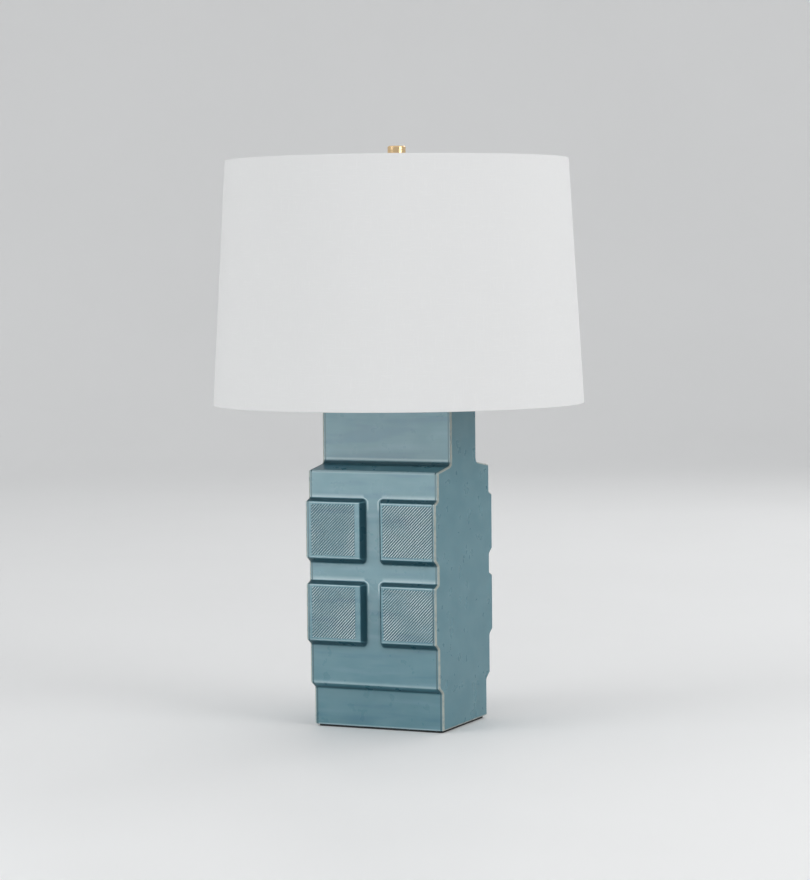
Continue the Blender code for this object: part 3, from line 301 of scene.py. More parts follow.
def opal_look():
    """Frosted opal diffuser."""
    look = Look("opal_frosted", Subsurface_Weight=0.25, Subsurface_Scale=0.004, IOR=1.49)
    tone = look.spread(look.noise(35, detail=3.0), 0.3, 0.7)
    look.feed("Base Color", look.mixed(tone, (0.86, 0.86, 0.83), (0.90, 0.895, 0.87)))
    look.feed("Roughness", look.spread(look.noise(400, detail=2.0), 0.3, 0.7, 0.34, 0.42))
    look.bump(look.noise(2200, detail=2.0), 0.008 * MM)
    return look.material


def floor_look():
    """Plain pale studio floor, hardly clouded."""
    look = Look("pale_floor")
    tone = look.spread(look.noise(1.5, detail=2.0), 0.3, 0.7)
    look.feed("Base Color", look.mixed(tone, (0.800, 0.800, 0.798), (0.812, 0.812, 0.810)))
    look.feed("Roughness", look.spread(look.noise(6, detail=2.0), 0.3, 0.7, 0.55, 0.62))
    return look.material


# What each kind of surface looks like, and which of the record's materials it stands for
LOOKS = {
    "glaze": glaze_look(),
    "felt": fibre_look("black_felt_fibres", (0.030, 0.030, 0.031), (0.006, 0.006, 0.006), 700, 0.25),
    "card": fibre_look("grey_card_fibres", (0.190, 0.180, 0.165), (0.110, 0.104, 0.096), 900, 0.05, 0.85),
    "rubber": moulded_look("black_rubber_pebbled", (0.026, 0.026, 0.027), (0.016, 0.016, 0.016), 0.58),
    "phenolic": moulded_look("black_phenolic_moulded", (0.022, 0.020, 0.019), (0.036, 0.031, 0.028), 0.26),
    "plastic": moulded_look("white_plastic_moulded", (0.80, 0.80, 0.78), (0.76, 0.76, 0.74), 0.32, 1400, 0.012),
    "zinc": metal_look("zinc_plated_steel", (0.64, 0.64, 0.62), (0.46, 0.46, 0.45), 0.30),
    "wire": metal_look("zinc_plated_wire", (0.62, 0.62, 0.60), (0.42, 0.42, 0.41), 0.32, rings=False),
    "brass": metal_look("aged_brass_satin", (0.74, 0.52, 0.24), (0.46, 0.30, 0.13), 0.24),
    "polished": metal_look("polished_brass", (0.90, 0.65, 0.37), (0.80, 0.54, 0.28), 0.10, scale=0.5),
    "nickel": metal_look("nickel_plated", (0.70, 0.68, 0.64), (0.56, 0.54, 0.50), 0.20),
    "aluminium": metal_look("screw_shell_rolled", (0.74, 0.74, 0.73), (0.56, 0.56, 0.55), 0.28),
    "linen": linen_look(),
    "styrene": styrene_look(),
    "opal": opal_look(),
}


# ---------------------------------------------------------------- helpers for pieces
def add_object(name, mesh):
    """A new object in the scene."""
    obj = bpy.data.objects.new(name, mesh)
    bpy.context.scene.collection.objects.link(obj)
    return obj


def clean(mesh, merge=0.0):
    """Joins points that lie closer than merge and turns every face outwards."""
    bm = bmesh.new()
    bm.from_mesh(mesh)
    if merge:
        bmesh.ops.remove_doubles(bm, verts=bm.verts, dist=merge)
    bmesh.ops.recalc_face_normals(bm, faces=bm.faces)
    bm.to_mesh(mesh)
    bm.free()


def mesh_of(name, points, faces):
    """A smooth-shaded mesh of points and faces."""
    mesh = bpy.data.meshes.new(name)
    mesh.from_pydata([tuple(p) for p in points], [], faces)
    clean(mesh, merge=1e-7)
    mesh.shade_smooth()
    return mesh


def ring_faces(rings, sides, closed=False):
    """Faces between neighbouring rings of points and, if closed, from the last ring back to the first."""
    faces = []
    for i in range(rings if closed else rings - 1):
        near, far = i * sides, (i + 1) % rings * sides
        for j in range(sides):
            k = (j + 1) % sides
            faces.append((near + j, near + k, far + k, far + j))
    return faces


def end_faces(rings, sides):
    """One face over the first ring of points and one over the last."""
    return [tuple(range(sides)), tuple(range(rings * sides - 1, (rings - 1) * sides - 1, -1))]


def even_shading(obj):
    """Lets the large faces lead the shading, so that small rounded edges look crisp."""
    shading = obj.modifiers.new("even_shading", "WEIGHTED_NORMAL")
    shading.keep_sharp = True


def sharpen(obj, degrees):
    """Marks edges that turn by more than this as sharp."""
    obj.data.set_sharp_from_angle(angle=math.radians(degrees))


def settle(obj, look, nodes, body):
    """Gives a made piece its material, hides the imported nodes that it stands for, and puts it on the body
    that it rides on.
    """
    obj.data.materials.clear()
    obj.data.materials.append(LOOKS[look])
    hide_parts(*nodes)
    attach(obj, body)
    return obj


def body_of_node(node):
    """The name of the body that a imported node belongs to."""
    return body_of(frame["nodes"][node])[0]


def outline_of(node, along_y=False):
    """(radius, height) points of a turned node's own outline, read in order from the edges on its +X side.

    A flat solid end has no vertex on the axis, so its middle is added.
    """
    low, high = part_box(node)
    middle = (low + high) / 2
    mesh = frame["nodes"][node].data
    places = {}
    for vertex in mesh.vertices:
        here = vertex.co - Vector((middle.x, 0, middle.z) if along_y else (middle.x, middle.y, 0))
        off, height = (here.z, -here.y) if along_y else (here.y, here.z)
        if abs(off) < 2e-6 and here.x > -2e-6:
            places[vertex.index] = (round(max(here.x, 0), 6), round(height, 6))
    joined = {place: [] for place in places.values()}
    for edge in mesh.edges:
        ends = [places.get(i) for i in edge.vertices]
        if None not in ends and ends[0] != ends[1] and ends[1] not in joined[ends[0]]:
            joined[ends[0]].append(ends[1])
            joined[ends[1]].append(ends[0])
    start = min((p for p in joined if joined[p]), key=lambda p: (len(joined[p]), p))
    outline = [start]
    while True:
        onward = [p for p in joined[outline[-1]] if p not in outline]
        if not onward:
            break
        outline.append(onward[0])
    ring = len(outline) > 2 and start in joined[outline[-1]]
    tube = abs(start[1] - outline[-1][1]) < NEARLY_ZERO
    if ring or tube:
        return outline
    return [(0, start[1])] * (start[0] > 0) + outline + [(0, outline[-1][1])] * (outline[-1][0] > 0)


def eased(outline, radius, steps=4):
    """The outline with its corners rounded. An outline that starts off the axis is a closed ring."""
    closed = outline[0][0] > NEARLY_ZERO
    points = [Vector(p) for p in outline]
    count = len(points)
    rounded = []
    for i, corner in enumerate(points):
        if not closed and i in (0, count - 1):
            rounded.append(corner)
            continue
        back, on = points[i - 1] - corner, points[(i + 1) % count] - corner
        turn = math.pi - back.angle(on)
        if turn < math.radians(14):
            rounded.append(corner)
            continue
        cut = min(radius * math.tan(turn / 2), 0.45 * back.length, 0.45 * on.length)
        start, end = corner + back.normalized() * cut, corner + on.normalized() * cut
        for step in range(steps + 1):
            t = step / steps
            rounded.append(start * (1 - t) ** 2 + corner * 2 * t * (1 - t) + end * t ** 2)
    return [tuple(p) for p in rounded]


def spaced(outline, step):
    """The outline with points added so that no run is longer than step."""
    ring = outline[0][0] > NEARLY_ZERO
    pairs = zip(outline, outline[1:] + outline[:1]) if ring else zip(outline, outline[1:])
    points = []
    for (r0, z0), (r1, z1) in pairs:
        parts = max(1, math.ceil(math.hypot(r1 - r0, z1 - z0) / step))
        points += [(r0 + (r1 - r0) * i / parts, z0 + (z1 - z0) * i / parts) for i in range(parts)]
    return points if ring else points + [outline[-1]]


def lathe(name, outline, sides, centre, along_y=False, thread=None):
    """Turns an outline about its axis.

    thread is (low, high, pitch, depth, smallest): a helical groove between two heights, where the radius is
    above smallest.
    """
    points = np.array(outline)
    angle = np.arange(sides) * math.tau / sides
    radius = np.repeat(points[:, :1], sides, 1)
    height = np.repeat(points[:, 1:], sides, 1)
    if thread:
        low, high, pitch, depth, smallest = thread
        fade = np.clip(np.minimum(height - low, high - height) / (0.5 * pitch), 0, 1)
        groove = 0.5 - 0.5 * np.cos(math.tau * ((height - low) / pitch - angle / math.tau))
        radius = radius - depth * groove * fade * (radius > smallest)
    x, y, z = radius * np.cos(angle), radius * np.sin(angle), height
    if along_y:
        y, z = -z, y
    grid = np.stack([x + centre[0], y + centre[1], z + centre[2]], -1).reshape(-1, 3)
    faces = ring_faces(len(points), sides, closed=outline[0][0] > NEARLY_ZERO)
    obj = add_object(name, mesh_of(name, grid, faces))
    even_shading(obj)
    return obj


def returned(node, name, look, ease=0.25 * MM, sides=ROUND_SIDES, along_y=False, thread=None):
    """A turned node made again from its own outline: rounded corners, more sides and, if asked, a thread."""
    low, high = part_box(node)
    middle = (low + high) / 2
    centre = (middle.x, 0, middle.z) if along_y else (middle.x, middle.y, 0)
    outline = eased(outline_of(node, along_y), ease)
    if thread:
        _, _, pitch, _, _ = thread
        outline = spaced(outline, pitch / 8)
    obj = lathe(name, outline, sides, centre, along_y, thread)
    return settle(obj, look, [node], body_of_node(node))


def cut(obj, cutter):
    """Takes the cutter out of a piece and applies the cut."""
    boolean = obj.modifiers.new("cut", "BOOLEAN")
    boolean.object = cutter
    boolean.solver = "EXACT"
    bpy.context.view_layer.objects.active = obj
    while obj.modifiers[0] != boolean:
        bpy.ops.object.modifier_move_up(modifier=boolean.name)
    bpy.ops.object.modifier_apply(modifier=boolean.name)
    bpy.data.objects.remove(cutter)


def finish_node(node, look, bevel=0.0):
    """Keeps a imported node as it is, with a better material and, where asked, eased edges."""
    obj = frame["nodes"][node]
    for slot in obj.material_slots:
        slot.material = LOOKS[look]
    if bevel:
        edges = obj.modifiers.new("eased_edges", "BEVEL")
        edges.width = bevel
        edges.segments = 3
        edges.limit_method = "ANGLE"
        edges.angle_limit = math.radians(40)
        even_shading(obj)


# ---------------------------------------------------------------- ceramic base
def ramp(share):
    """Rises from 0 to 1 in a straight slope with a soft foot and a crisper rim."""
    share = np.clip(share, 0, 1)
    slope = 1 / (1 - BASE_EASE / 2 - RIM_EASE / 2)
    foot = slope * share ** 2 / (2 * BASE_EASE)
    straight = slope * (share - BASE_EASE / 2)
    rim = 1 - slope * (1 - share) ** 2 / (2 * RIM_EASE)
    return np.where(share < BASE_EASE, foot, np.where(share > 1 - RIM_EASE, rim, straight))


def smooth(value, low, high):
    """Rises from 0 at low to 1 at high, gently at both ends."""
    share = np.clip((value - low) / (high - low), 0, 1)
    return share * share * (3 - 2 * share)


def wall_share(x, z):
    """How far up a block's wall a place lies, and whether it is above (1) or below (0) the block.

    The share is 1 on the block's face, 0 at the wall's foot and less outside.
    """
    across = (np.abs(x) - CHANNEL) / CHANNEL_SLOPE
    share = np.full(np.broadcast(x, z).shape, -9.0)
    above = np.zeros(share.shape)
    for low in BLOCK_LOWS:
        from_below = (z - low) / BLOCK_SLOPE_BELOW + 1
        from_above = (low + BLOCK_FACE - z) / BLOCK_SLOPE_ABOVE + 1
        short_z = np.maximum(1 - np.minimum(from_below, from_above), 0)
        here = 1 - np.hypot(np.maximum(1 - across, 0), short_z)
        above = np.where(here > share, smooth(from_below - from_above, 1.5, 7), above)
        share = np.maximum(share, here)
    return share, above


def relief(x, z):
    """How far the blocks stand out of the band, for arrays of places."""
    return BLOCK_RELIEF * ramp(wall_share(x, z)[0])


def wall_pooling_and_painted_light(x, z):
    """Painted shade on the blocks' walls, partly deep glaze pooled there, and a fainter painted shade round the
    walls' feet below the blocks, below 0; a painted highlight along the walls' feet above the blocks, above 0.
    """
    share, above = wall_share(x, z)
    # deep is painted shade on the walls, partly deep glaze pooled there; below is painted shade under the
    # blocks; pale is a painted highlight
    deep = smooth(share, 0.02, 0.25) * (1 - smooth(share, 0.80, 1.0))
    below = smooth(share, -0.9, 0.0) * (1 - smooth(share, 0.0, 0.2)) * (1 - above)
    pale = smooth(share, -0.42, -0.16) * (1 - smooth(share, -0.14, 0.02))
    return 0.9 * pale * above - deep - 0.35 * below


def step_painted_light(loop):
    """Painted shade, below 0, and painted highlights, above 0, at the hollow at the neck's foot and at the step
    over the foot, along the (y, z) loop.
    """
    y, z = np.abs(loop[:, 0]), loop[:, 1]
    climbed = z - SHOULDER_HEIGHT - SHOULDER_RISE - (y - BODY_NECK)
    # deep and under are painted shade; pale and over are painted highlights
    deep = smooth(climbed, -16 * MM, -7 * MM) * (1 - smooth(climbed, 1.5 * MM, 3.5 * MM))
    pale = smooth(climbed, 2.5 * MM, 4.5 * MM) * (1 - smooth(climbed, 5.5 * MM, 7.5 * MM))
    neck = (0.7 * pale - 0.8 * deep) * (z > SHOULDER_HEIGHT)
    above_foot, above_lip = z - FOOT_HEIGHT, z - FOOT_HEIGHT - FOOT_STEP
    under = smooth(above_foot, -1.5 * MM, 1 * MM) * (1 - smooth(above_lip, -2 * MM, 0.5 * MM))
    over = smooth(above_lip, 0.5 * MM, 2 * MM) * (1 - smooth(above_lip, 2.5 * MM, 5 * MM))
    return neck + (0.25 * over - 0.85 * under) * (y > BODY_FOOT - 1 * MM)


def ridges(x, z):
    """Height of the combed ridges, 0 to 1, and how fully they show. x is as seen from the block's side."""
    left = x < 0
    outer = np.where(left, RIDGE_MARGIN_OUTER[0], RIDGE_MARGIN_OUTER[1])
    inner = np.where(left, RIDGE_MARGIN_INNER[0], RIDGE_MARGIN_INNER[1])
    across = np.minimum(BODY_SIDE - outer - np.abs(x), np.abs(x) - CHANNEL - CHANNEL_SLOPE - inner)
    shown = np.zeros(x.shape)
    for low in BLOCK_LOWS:
        up = np.minimum(z - low, low + BLOCK_FACE - z) - RIDGE_MARGIN_ENDS
        shown = np.maximum(shown, smooth(np.minimum(across, up), 0, RIDGE_FADE))
    sway = 0.5 * np.sin(x * 61 + z * 23) + 0.35 * np.sin(z * 139 - x * 83)
    phase = (x - z) / math.sqrt(2) / RIDGE_PITCH * math.tau + sway
    return (0.5 + 0.5 * np.cos(phase)) ** 0.8, shown


def arc(before, corner, after, radius, steps=7):
    """Points that round one corner of the profile."""
    corner = Vector(corner)
    back, on = Vector(before) - corner, Vector(after) - corner
    cut_back = radius * math.tan((math.pi - back.angle(on)) / 2)
    start, end = corner + back.normalized() * cut_back, corner + on.normalized() * cut_back
    shares = [step / steps for step in range(steps + 1)]
    return [start * (1 - t) ** 2 + corner * 2 * t * (1 - t) + end * t * t for t in shares]


def steps_between(start, end, step):
    """Evenly spaced places from start to end, without the end."""
    count = max(1, math.ceil(abs(end - start) / step))
    return [start + (end - start) * i / count for i in range(count)]


def towards_corner(start, end):
    """Places from start to end, close together on the last stretch, where a rounded edge moves them inwards."""
    return steps_between(start, end - 6 * MM, COARSE) + steps_between(end - 6 * MM, end, 1 * MM)


def band_rows():
    """Heights of the mesh rows on the band: fine over the blocks and their walls, coarse between."""
    marks = [(FOOT_HEIGHT + FOOT_STEP + 4 * MM, COARSE)]
    for low in BLOCK_LOWS:
        high = low + BLOCK_FACE
        marks += [(low - BLOCK_SLOPE_BELOW - 1 * MM, 0.6 * MM), (low, FINE)]
        marks += [(high, 0.4 * MM), (high + BLOCK_SLOPE_ABOVE + 1 * MM, COARSE)]
    marks.append((SHOULDER_HEIGHT - 4 * MM, COARSE))
    rows = []
    for (start, step), (end, _) in zip(marks, marks[1:]):
        rows += steps_between(start, end, step)
    return rows + [marks[-1][0]]


def body_profile():
    """(y, z) points up one side of the base, from the middle of its underside to the middle of its top."""
    step_top, shoulder = FOOT_HEIGHT + FOOT_STEP, SHOULDER_HEIGHT + SHOULDER_RISE
    corners = [
        (0, 0),
        (BODY_FOOT, 0),
        (BODY_FOOT, FOOT_HEIGHT),
        (BODY_BAND, step_top),
        (BODY_BAND, SHOULDER_HEIGHT),
        (BODY_NECK, shoulder),
        (BODY_NECK, BODY_HEIGHT),
        (0, BODY_HEIGHT),
    ]
    radii = [1.6 * MM, 3 * MM, 2.6 * MM, 3 * MM, 6 * MM, 2 * MM]
    arcs = [arc(*corners[i : i + 3], radius) for i, radius in enumerate(radii)]
    points = [Vector((y, 0)) for y in towards_corner(COARSE / 2, BODY_FOOT - 1.8 * MM)] + arcs[0]
    points += [Vector((BODY_FOOT, z)) for z in steps_between(2 * MM, 8 * MM, 1 * MM)]
    points += [Vector((BODY_FOOT, z)) for z in steps_between(8 * MM, FOOT_HEIGHT - 6 * MM, COARSE)]
    points += arcs[1] + arcs[2] + [Vector((BODY_BAND, z)) for z in band_rows()] + arcs[3]
    slope = [arcs[3][-1].lerp(arcs[4][0], share) for share in (0.1, 0.3, 0.5, 0.7, 0.9)]
    neck = [Vector((BODY_NECK, z)) for z in steps_between(shoulder + 6.5 * MM, shoulder + 9 * MM, 1 * MM)]
    neck += [Vector((BODY_NECK, z)) for z in towards_corner(shoulder + 9 * MM, BODY_HEIGHT - 2.2 * MM)]
    top = [Vector((y, BODY_HEIGHT)) for y in towards_corner(COARSE / 2, BODY_NECK - 2.2 * MM)]
    points += slope + arcs[4] + neck + arcs[5] + top[::-1]
    return np.array([tuple(p) for p in points])


def inset_line(line, inset):
    """A closed (y, z) loop moved inwards. Places that would cross over are drawn together."""
    if inset == 0:
        return line
    along = np.roll(line, -1, 0) - np.roll(line, 1, 0)
    along /= np.linalg.norm(along, axis=1)[:, None]
    moved = line + inset * np.stack([-along[:, 1], along[:, 0]], 1)
    reach = np.sqrt(((moved[:, None] - line[None]) ** 2).sum(-1)).min(1)
    kept = np.flatnonzero(reach > 0.985 * inset)
    whole = np.arange(len(line))
    for axis in range(2):
        moved[:, axis] = np.interp(whole, kept, moved[kept, axis], period=len(line))
    return moved


def body_stations():
    """(x, inset, along) places across the base's width, from its middle to one side.

    along is the way to the middle of the rounded corner, below 0 on the flat side.
    """
    shoulder = CHANNEL + CHANNEL_SLOPE
    start = BODY_SIDE - SIDE_ROUNDING
    xs = steps_between(0.0, CHANNEL - 1 * MM, 3 * MM) + steps_between(CHANNEL - 1 * MM, shoulder, 0.5 * MM)
    xs += steps_between(shoulder, start, FINE)
    half_arc = SIDE_ROUNDING * math.pi / 4
    stations = [(x, 0.0, half_arc + start - x) for x in xs]
    for degrees in range(0, 91, 15):
        angle = math.radians(degrees)
        along = SIDE_ROUNDING * (math.pi / 4 - angle)
        stations.append((start + SIDE_ROUNDING * math.sin(angle), SIDE_ROUNDING * (1 - math.cos(angle)), along))
    for beyond in (0.8 * MM, 2 * MM):
        stations.append((BODY_SIDE, SIDE_ROUNDING + beyond, -half_arc - beyond))
    return stations


def corner_tones(along):
    """The tan line where the glaze breaks over a corner, above 0, and the dark one beside it, below 0."""
    tan = 1 - smooth(np.abs(along - 0.2 * MM), 0.90 * MM, 1.9 * MM)
    dark = smooth(along, 1.9 * MM, 2.6 * MM) * (1 - smooth(along, 3.2 * MM, 4.4 * MM))
    return tan - 0.85 * dark


def bulge(grid, normals, reach):
    """How far each place stands out from the middle of the two places at that reach along its row."""
    stands = np.zeros(grid.shape[:2])
    for i, line in enumerate(grid):
        run = np.concatenate([[0], np.cumsum(np.linalg.norm(np.diff(line, axis=0), axis=1))])
        sides = [np.stack([np.interp(run + d, run, line[:, k]) for k in range(3)], 1) for d in (-reach, reach)]
        stands[i] = ((line - (sides[0] + sides[1]) / 2) * normals[i]).sum(1)
        stands[i][(run < reach) | (run > run[-1] - reach)] = 0
    return stands


def wavy(points):
    """Slow unevenness of a slip-cast wall, at each (x, y, z)."""
    places = [Vector(p) for p in points]
    aside = Vector((7, 3, 1))
    return np.array([noise.noise(p * 21) + 0.5 * noise.noise(p * 47 + aside) for p in places])


def grid_normals(grid):
    """Unit normals of a grid of points."""
    along = np.gradient(grid, axis=1)
    across = np.gradient(grid, axis=0)
    normals = np.cross(along, across)
    return normals / np.maximum(np.linalg.norm(normals, axis=2), 1e-12)[:, :, None]


def body_grid():
    """Points of the base's outside, by station and along the loop, and the glaze's marks at each, painted shade
    and highlights among them.
    """
    side = body_profile()
    loop = np.concatenate([side, side[::-1] * (-1, 1)])
    half = body_stations()
    stations = [(-x, inset, along) for x, inset, along in reversed(half) if x > 0] + half
    grid = np.zeros((len(stations), len(loop), 3))
    on_face = np.abs(np.abs(loop[:, 0]) - BODY_BAND) < 1e-6
    for i, (x, inset, _) in enumerate(stations):
        line = loop.copy()
        line[:, 0] += np.sign(loop[:, 0]) * relief(x, loop[:, 1]) * on_face
        line = inset_line(line, inset)
        grid[i, :, 0] = x
        grid[i, :, 1:] = line
    normals = grid_normals(grid)
    outward = np.sign((normals[:, :, 1] * np.sign(grid[:, :, 1])).mean())
    normals *= outward
    reach = 1.3 * MM
    stands = np.clip(bulge(grid, normals, reach) / (0.28 * MM), -1, 1)
    insets, along = (np.array([s[k] for s in stations])[:, None] for k in (1, 2))
    tone = wall_pooling_and_painted_light(grid[:, :, 0], loop[None, :, 1]) * on_face + step_painted_light(loop)
    face = smooth(along, -1.5 * MM, 0)
    # Convex rims get a painted highlight as well.
    tone = (tone + 0.75 * np.maximum(stands, 0)) * face
    seen_x = -grid[:, :, 0] * np.sign(grid[:, :, 1])
    height, shown = ridges(seen_x, grid[:, :, 2])
    shown = shown * on_face * (insets == 0)
    wave = wavy(grid.reshape(-1, 3)).reshape(shown.shape) * WAVINESS * np.clip(1 - insets / MM, 0, 1)
    grid += normals * wave[:, :, None]
    grid[:, :, 1] += np.sign(grid[:, :, 1]) * RIDGE_DEPTH * shown * (height - 0.6)
    grid[:, :, 2] += BODY_LOW.z
    marks = {
        # tone: painted shade below 0, painted highlights above 0
        "tone": np.clip(tone, -1, 1),
        "edge": corner_tones(along) + 0 * tone,
        "face": face + 0 * tone,
        "ridge": 0.5 + (height - 0.5) * shown,
    }
    return grid, marks


def hollow_cutter():
    """The cavity, recess and holes of the base as one closed shape."""
    inner = BODY_SIDE - BODY_WALL
    floor_top = RECESS_HEIGHT + FLOOR_THICKNESS
    half = [
        (BODY_FOOT - BODY_WALL, floor_top),
        (BODY_FOOT - BODY_WALL, FOOT_HEIGHT),
        (BODY_BAND - BODY_WALL, FOOT_HEIGHT + FOOT_STEP),
        (BODY_BAND - BODY_WALL, SHOULDER_HEIGHT - BODY_WALL),
        (BODY_NECK - BODY_WALL, SHOULDER_HEIGHT + SHOULDER_RISE - BODY_WALL),
        (BODY_NECK - BODY_WALL, BODY_HEIGHT - BODY_WALL),
    ]
    outline = half + [(-y, z) for y, z in reversed(half)]
    cutter = prism("hollow_cutter", outline, -inner, inner)
    side = BODY_FOOT - BODY_WALL
    recess = [(-side, -BODY_WALL), (side, -BODY_WALL), (side, RECESS_HEIGHT), (-side, RECESS_HEIGHT)]
    add_to(cutter, prism("recess_cutter", recess, -inner, inner))
    middle = (0, 0, BODY_LOW.z)
    add_to(cutter, drill(FLOOR_HOLE, RECESS_HEIGHT - BODY_WALL, floor_top + BODY_WALL, middle))
    add_to(cutter, drill(ROD_HOLE, BODY_HEIGHT - 2 * BODY_WALL, BODY_HEIGHT + BODY_WALL, middle))
    inlet = (0, 0, BODY_LOW.z + CORD_HEIGHT)
    add_to(cutter, drill(CORD_HOLE, -BODY_FOOT - 2 * BODY_WALL, BODY_WALL - BODY_FOOT, inlet, along_y=True))
    return cutter


def drill(radius, low, high, centre, along_y=False):
    """A cutter for one round hole. Along Y its heights count towards -Y, so holes in the back are below 0."""
    outline = [(0, low), (radius, low), (radius, high), (0, high)]
    sides = 64 if radius > 20 * MM else 48
    return lathe("hole_cutter", outline, sides, centre, along_y)


def prism(name, outline, x_low, x_high):
    """A flat (y, z) outline drawn out along X, heights above the ceramic's underside."""
    count = len(outline)
    points = [(x, y, z + BODY_LOW.z) for x in (x_low, x_high) for y, z in outline]
    return add_object(name, mesh_of(name, points, ring_faces(2, count) + end_faces(2, count)))


def add_to(obj, other):
    """Joins another closed shape to this one and applies the join."""
    other.modifiers.clear()
    join = obj.modifiers.new("join", "BOOLEAN")
    join.operation = "UNION"
    join.object = other
    bpy.context.view_layer.objects.active = obj
    bpy.ops.object.modifier_apply(modifier=join.name)
    bpy.data.objects.remove(other)


def ceramic():
    """The glazed base: its outside from a grid of points that carry the glaze's marks and its painted shade and
    highlights, hollowed by one cut.
    """
    grid, marks = body_grid()
    stations, count = grid.shape[:2]
    mesh = bpy.data.meshes.new("glazed_body")
    faces = ring_faces(stations, count) + end_faces(stations, count)
    mesh.from_pydata(grid.reshape(-1, 3).tolist(), [], faces)
    for name, values in marks.items():
        mark = mesh.attributes.new(name, "FLOAT", "POINT")
        mark.data.foreach_set("value", values.astype(np.float32).ravel())
    clean(mesh, merge=2e-6)
    mesh.shade_smooth()
    obj = add_object("glazed_body", mesh)
    cut(obj, hollow_cutter())
    sharpen(obj, 50)
    even_shading(obj)
    settle(obj, "glaze", ["ceramic_body"], body_of_node("ceramic_body"))


def felt_pad():
    """The felt under the foot: a thin sheet with rounded corners and slightly lifted, fuzzy edges."""
    low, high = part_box("base_pad")
    radius = 4 * MM
    outline = []
    for turn, (x, y) in enumerate(((high.x, high.y), (low.x, high.y), (low.x, low.y), (high.x, low.y))):
        centre_x, centre_y = x - math.copysign(radius, x), y - math.copysign(radius, y)
        for step in range(7):
            angle = math.radians(90 * turn + 15 * step)
            outline.append((centre_x + radius * math.cos(angle), centre_y + radius * math.sin(angle)))
    thickness = high.z - low.z
    rings = [(3 * MM, 0), (0.4 * MM, 0), (0, 0.2), (0, 0.8), (0.4 * MM, 1), (3 * MM, 1)]
    points, count = [], len(outline)
    for inwards, rise in rings:
        for x, y in outline:
            shrink_x, shrink_y = 1 - inwards / high.x, 1 - inwards / high.y
            fuzz = 0.12 * MM * noise.noise(Vector((x, y, rise)) * 400)
            points.append((x * shrink_x + fuzz, y * shrink_y + fuzz, low.z + thickness * rise))
    faces = end_faces(len(rings), count) + ring_faces(len(rings), count)
    pad = add_object("felt_pad", mesh_of("felt_pad", points, faces))
    settle(pad, "felt", ["base_pad"], body_of_node("base_pad"))


# ---------------------------------------------------------------- shade
def shade_cover():
    """Linen wrapped round the frame with one lapped seam at the back, its threads laid out in metres."""
    low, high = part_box("shade_fabric")
    tall = high.z - low.z
    outline = outline_of("shade_fabric")
    thickness = 0.8 * MM
    bottom = max(r for r, z in outline if z < low.z + MM)
    top = max(r for r, z in outline if z > high.z - MM)
    lap, lap_rise = 9 * MM, 0.45 * MM
    seam, edge, beside = math.pi / 2, lap / bottom, 0.0015
    angles = list(np.linspace(0, math.tau, SHADE_SIDES + 1))
    angles = sorted(angles + [seam - edge - beside, seam - edge, seam + edge, seam + edge + beside])
    heights = [0, 0.3 * MM, 0.8 * MM] + list(np.linspace(2 * MM, tall - 2 * MM, 30))
    heights += [tall - 0.8 * MM, tall - 0.3 * MM, tall]
    outside, inside = [], []
    for height in heights:
        share = height / tall
        lip = 0.35 * MM * max(0, 1 - min(height, tall - height) / (0.8 * MM)) ** 2
        for angle in angles:
            raised = lap_rise if abs(angle - seam) <= edge + NEARLY_ZERO else 0
            place = Vector((math.cos(angle) * 2.2, math.sin(angle) * 2.2, height * 9))
            uneven = 0.05 * MM * (noise.noise(place) - 1)
            radius = bottom + (top - bottom) * share + raised - lip + uneven
            outside.append((radius, angle, height))
            inside.append((radius - thickness + 2 * lip - raised, angle, height))
    columns = len(angles)
    rows = [outside[i : i + columns] for i in range(0, len(outside), columns)]
    rows += [inside[i : i + columns] for i in range(len(inside) - columns, -1, -columns)]
    return shade_mesh("linen_cover", rows, low.z), bottom, top, tall


def shade_mesh(name, rows, base=0.0):
    """Cloth from closed rings of (radius, angle, height), the last joined to the first, with UVs in metres."""
    columns = len(rows[0]) - 1
    points = [(r * math.cos(a), r * math.sin(a), base + z) for row in rows for r, a, z in row[:-1]]
    mesh = bpy.data.meshes.new(name)
    mesh.from_pydata(points, [], ring_faces(len(rows), columns, closed=True))
    layer = mesh.uv_layers.new(name="threads")
    first_radius = rows[0][0][0]
    for index, polygon in enumerate(mesh.polygons):
        i, j = divmod(index, columns)
        near, far = rows[i], rows[(i + 1) % len(rows)]
        corners = (near[j], near[j + 1], far[j + 1], far[j])
        for loop, (_, angle, height) in zip(polygon.loop_indices, corners):
            layer.data[loop].uv = (angle * first_radius, height)
    mesh.update()
    mesh.shade_smooth()
    clean(mesh)
    return add_object(name, mesh)


def hem(node, name):
    """The cloth turned over a wire ring, with a soft outer edge."""
    outline = spaced(eased(outline_of(node), 0.25 * MM, 3), 2 * MM)
    angles = list(np.linspace(0, math.tau, SHADE_SIDES + 1))
    rows = [[(r, a, z) for a in angles] for r, z in outline]
    obj = shade_mesh(name, rows)
    even_shading(obj)
    return settle(obj, "linen", [node], body_of_node(node))


def shade():
    """The linen cover with its hems, the liner that it is glued to, and the two wire rings."""
    cover, bottom, top, height = shade_cover()
    sharpen(cover, 60)
    settle(cover, "linen", ["shade_fabric"], body_of_node("shade_fabric"))
    hems = [hem("shade_bottom_hem", "linen_bottom_hem"), hem("shade_top_hem", "linen_top_hem")]
    returned("shade_styrene", "shade_liner", "styrene", 0.1 * MM, SHADE_SIDES)
    returned("shade_top_ring", "top_ring_wire", "wire", 0, SHADE_SIDES)
    returned("shade_bottom_ring", "bottom_ring_wire", "wire", 0, SHADE_SIDES)


# ---------------------------------------------------------------- hardware
def rod_thread():
    """The rod shows its thread only below the base's floor, where the nut runs."""
    low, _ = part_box("threaded_rod")
    return (low.z + 0.5 * MM, low.z + 40 * MM, FINE_PITCH, 0.45 * MM, 4.2 * MM)


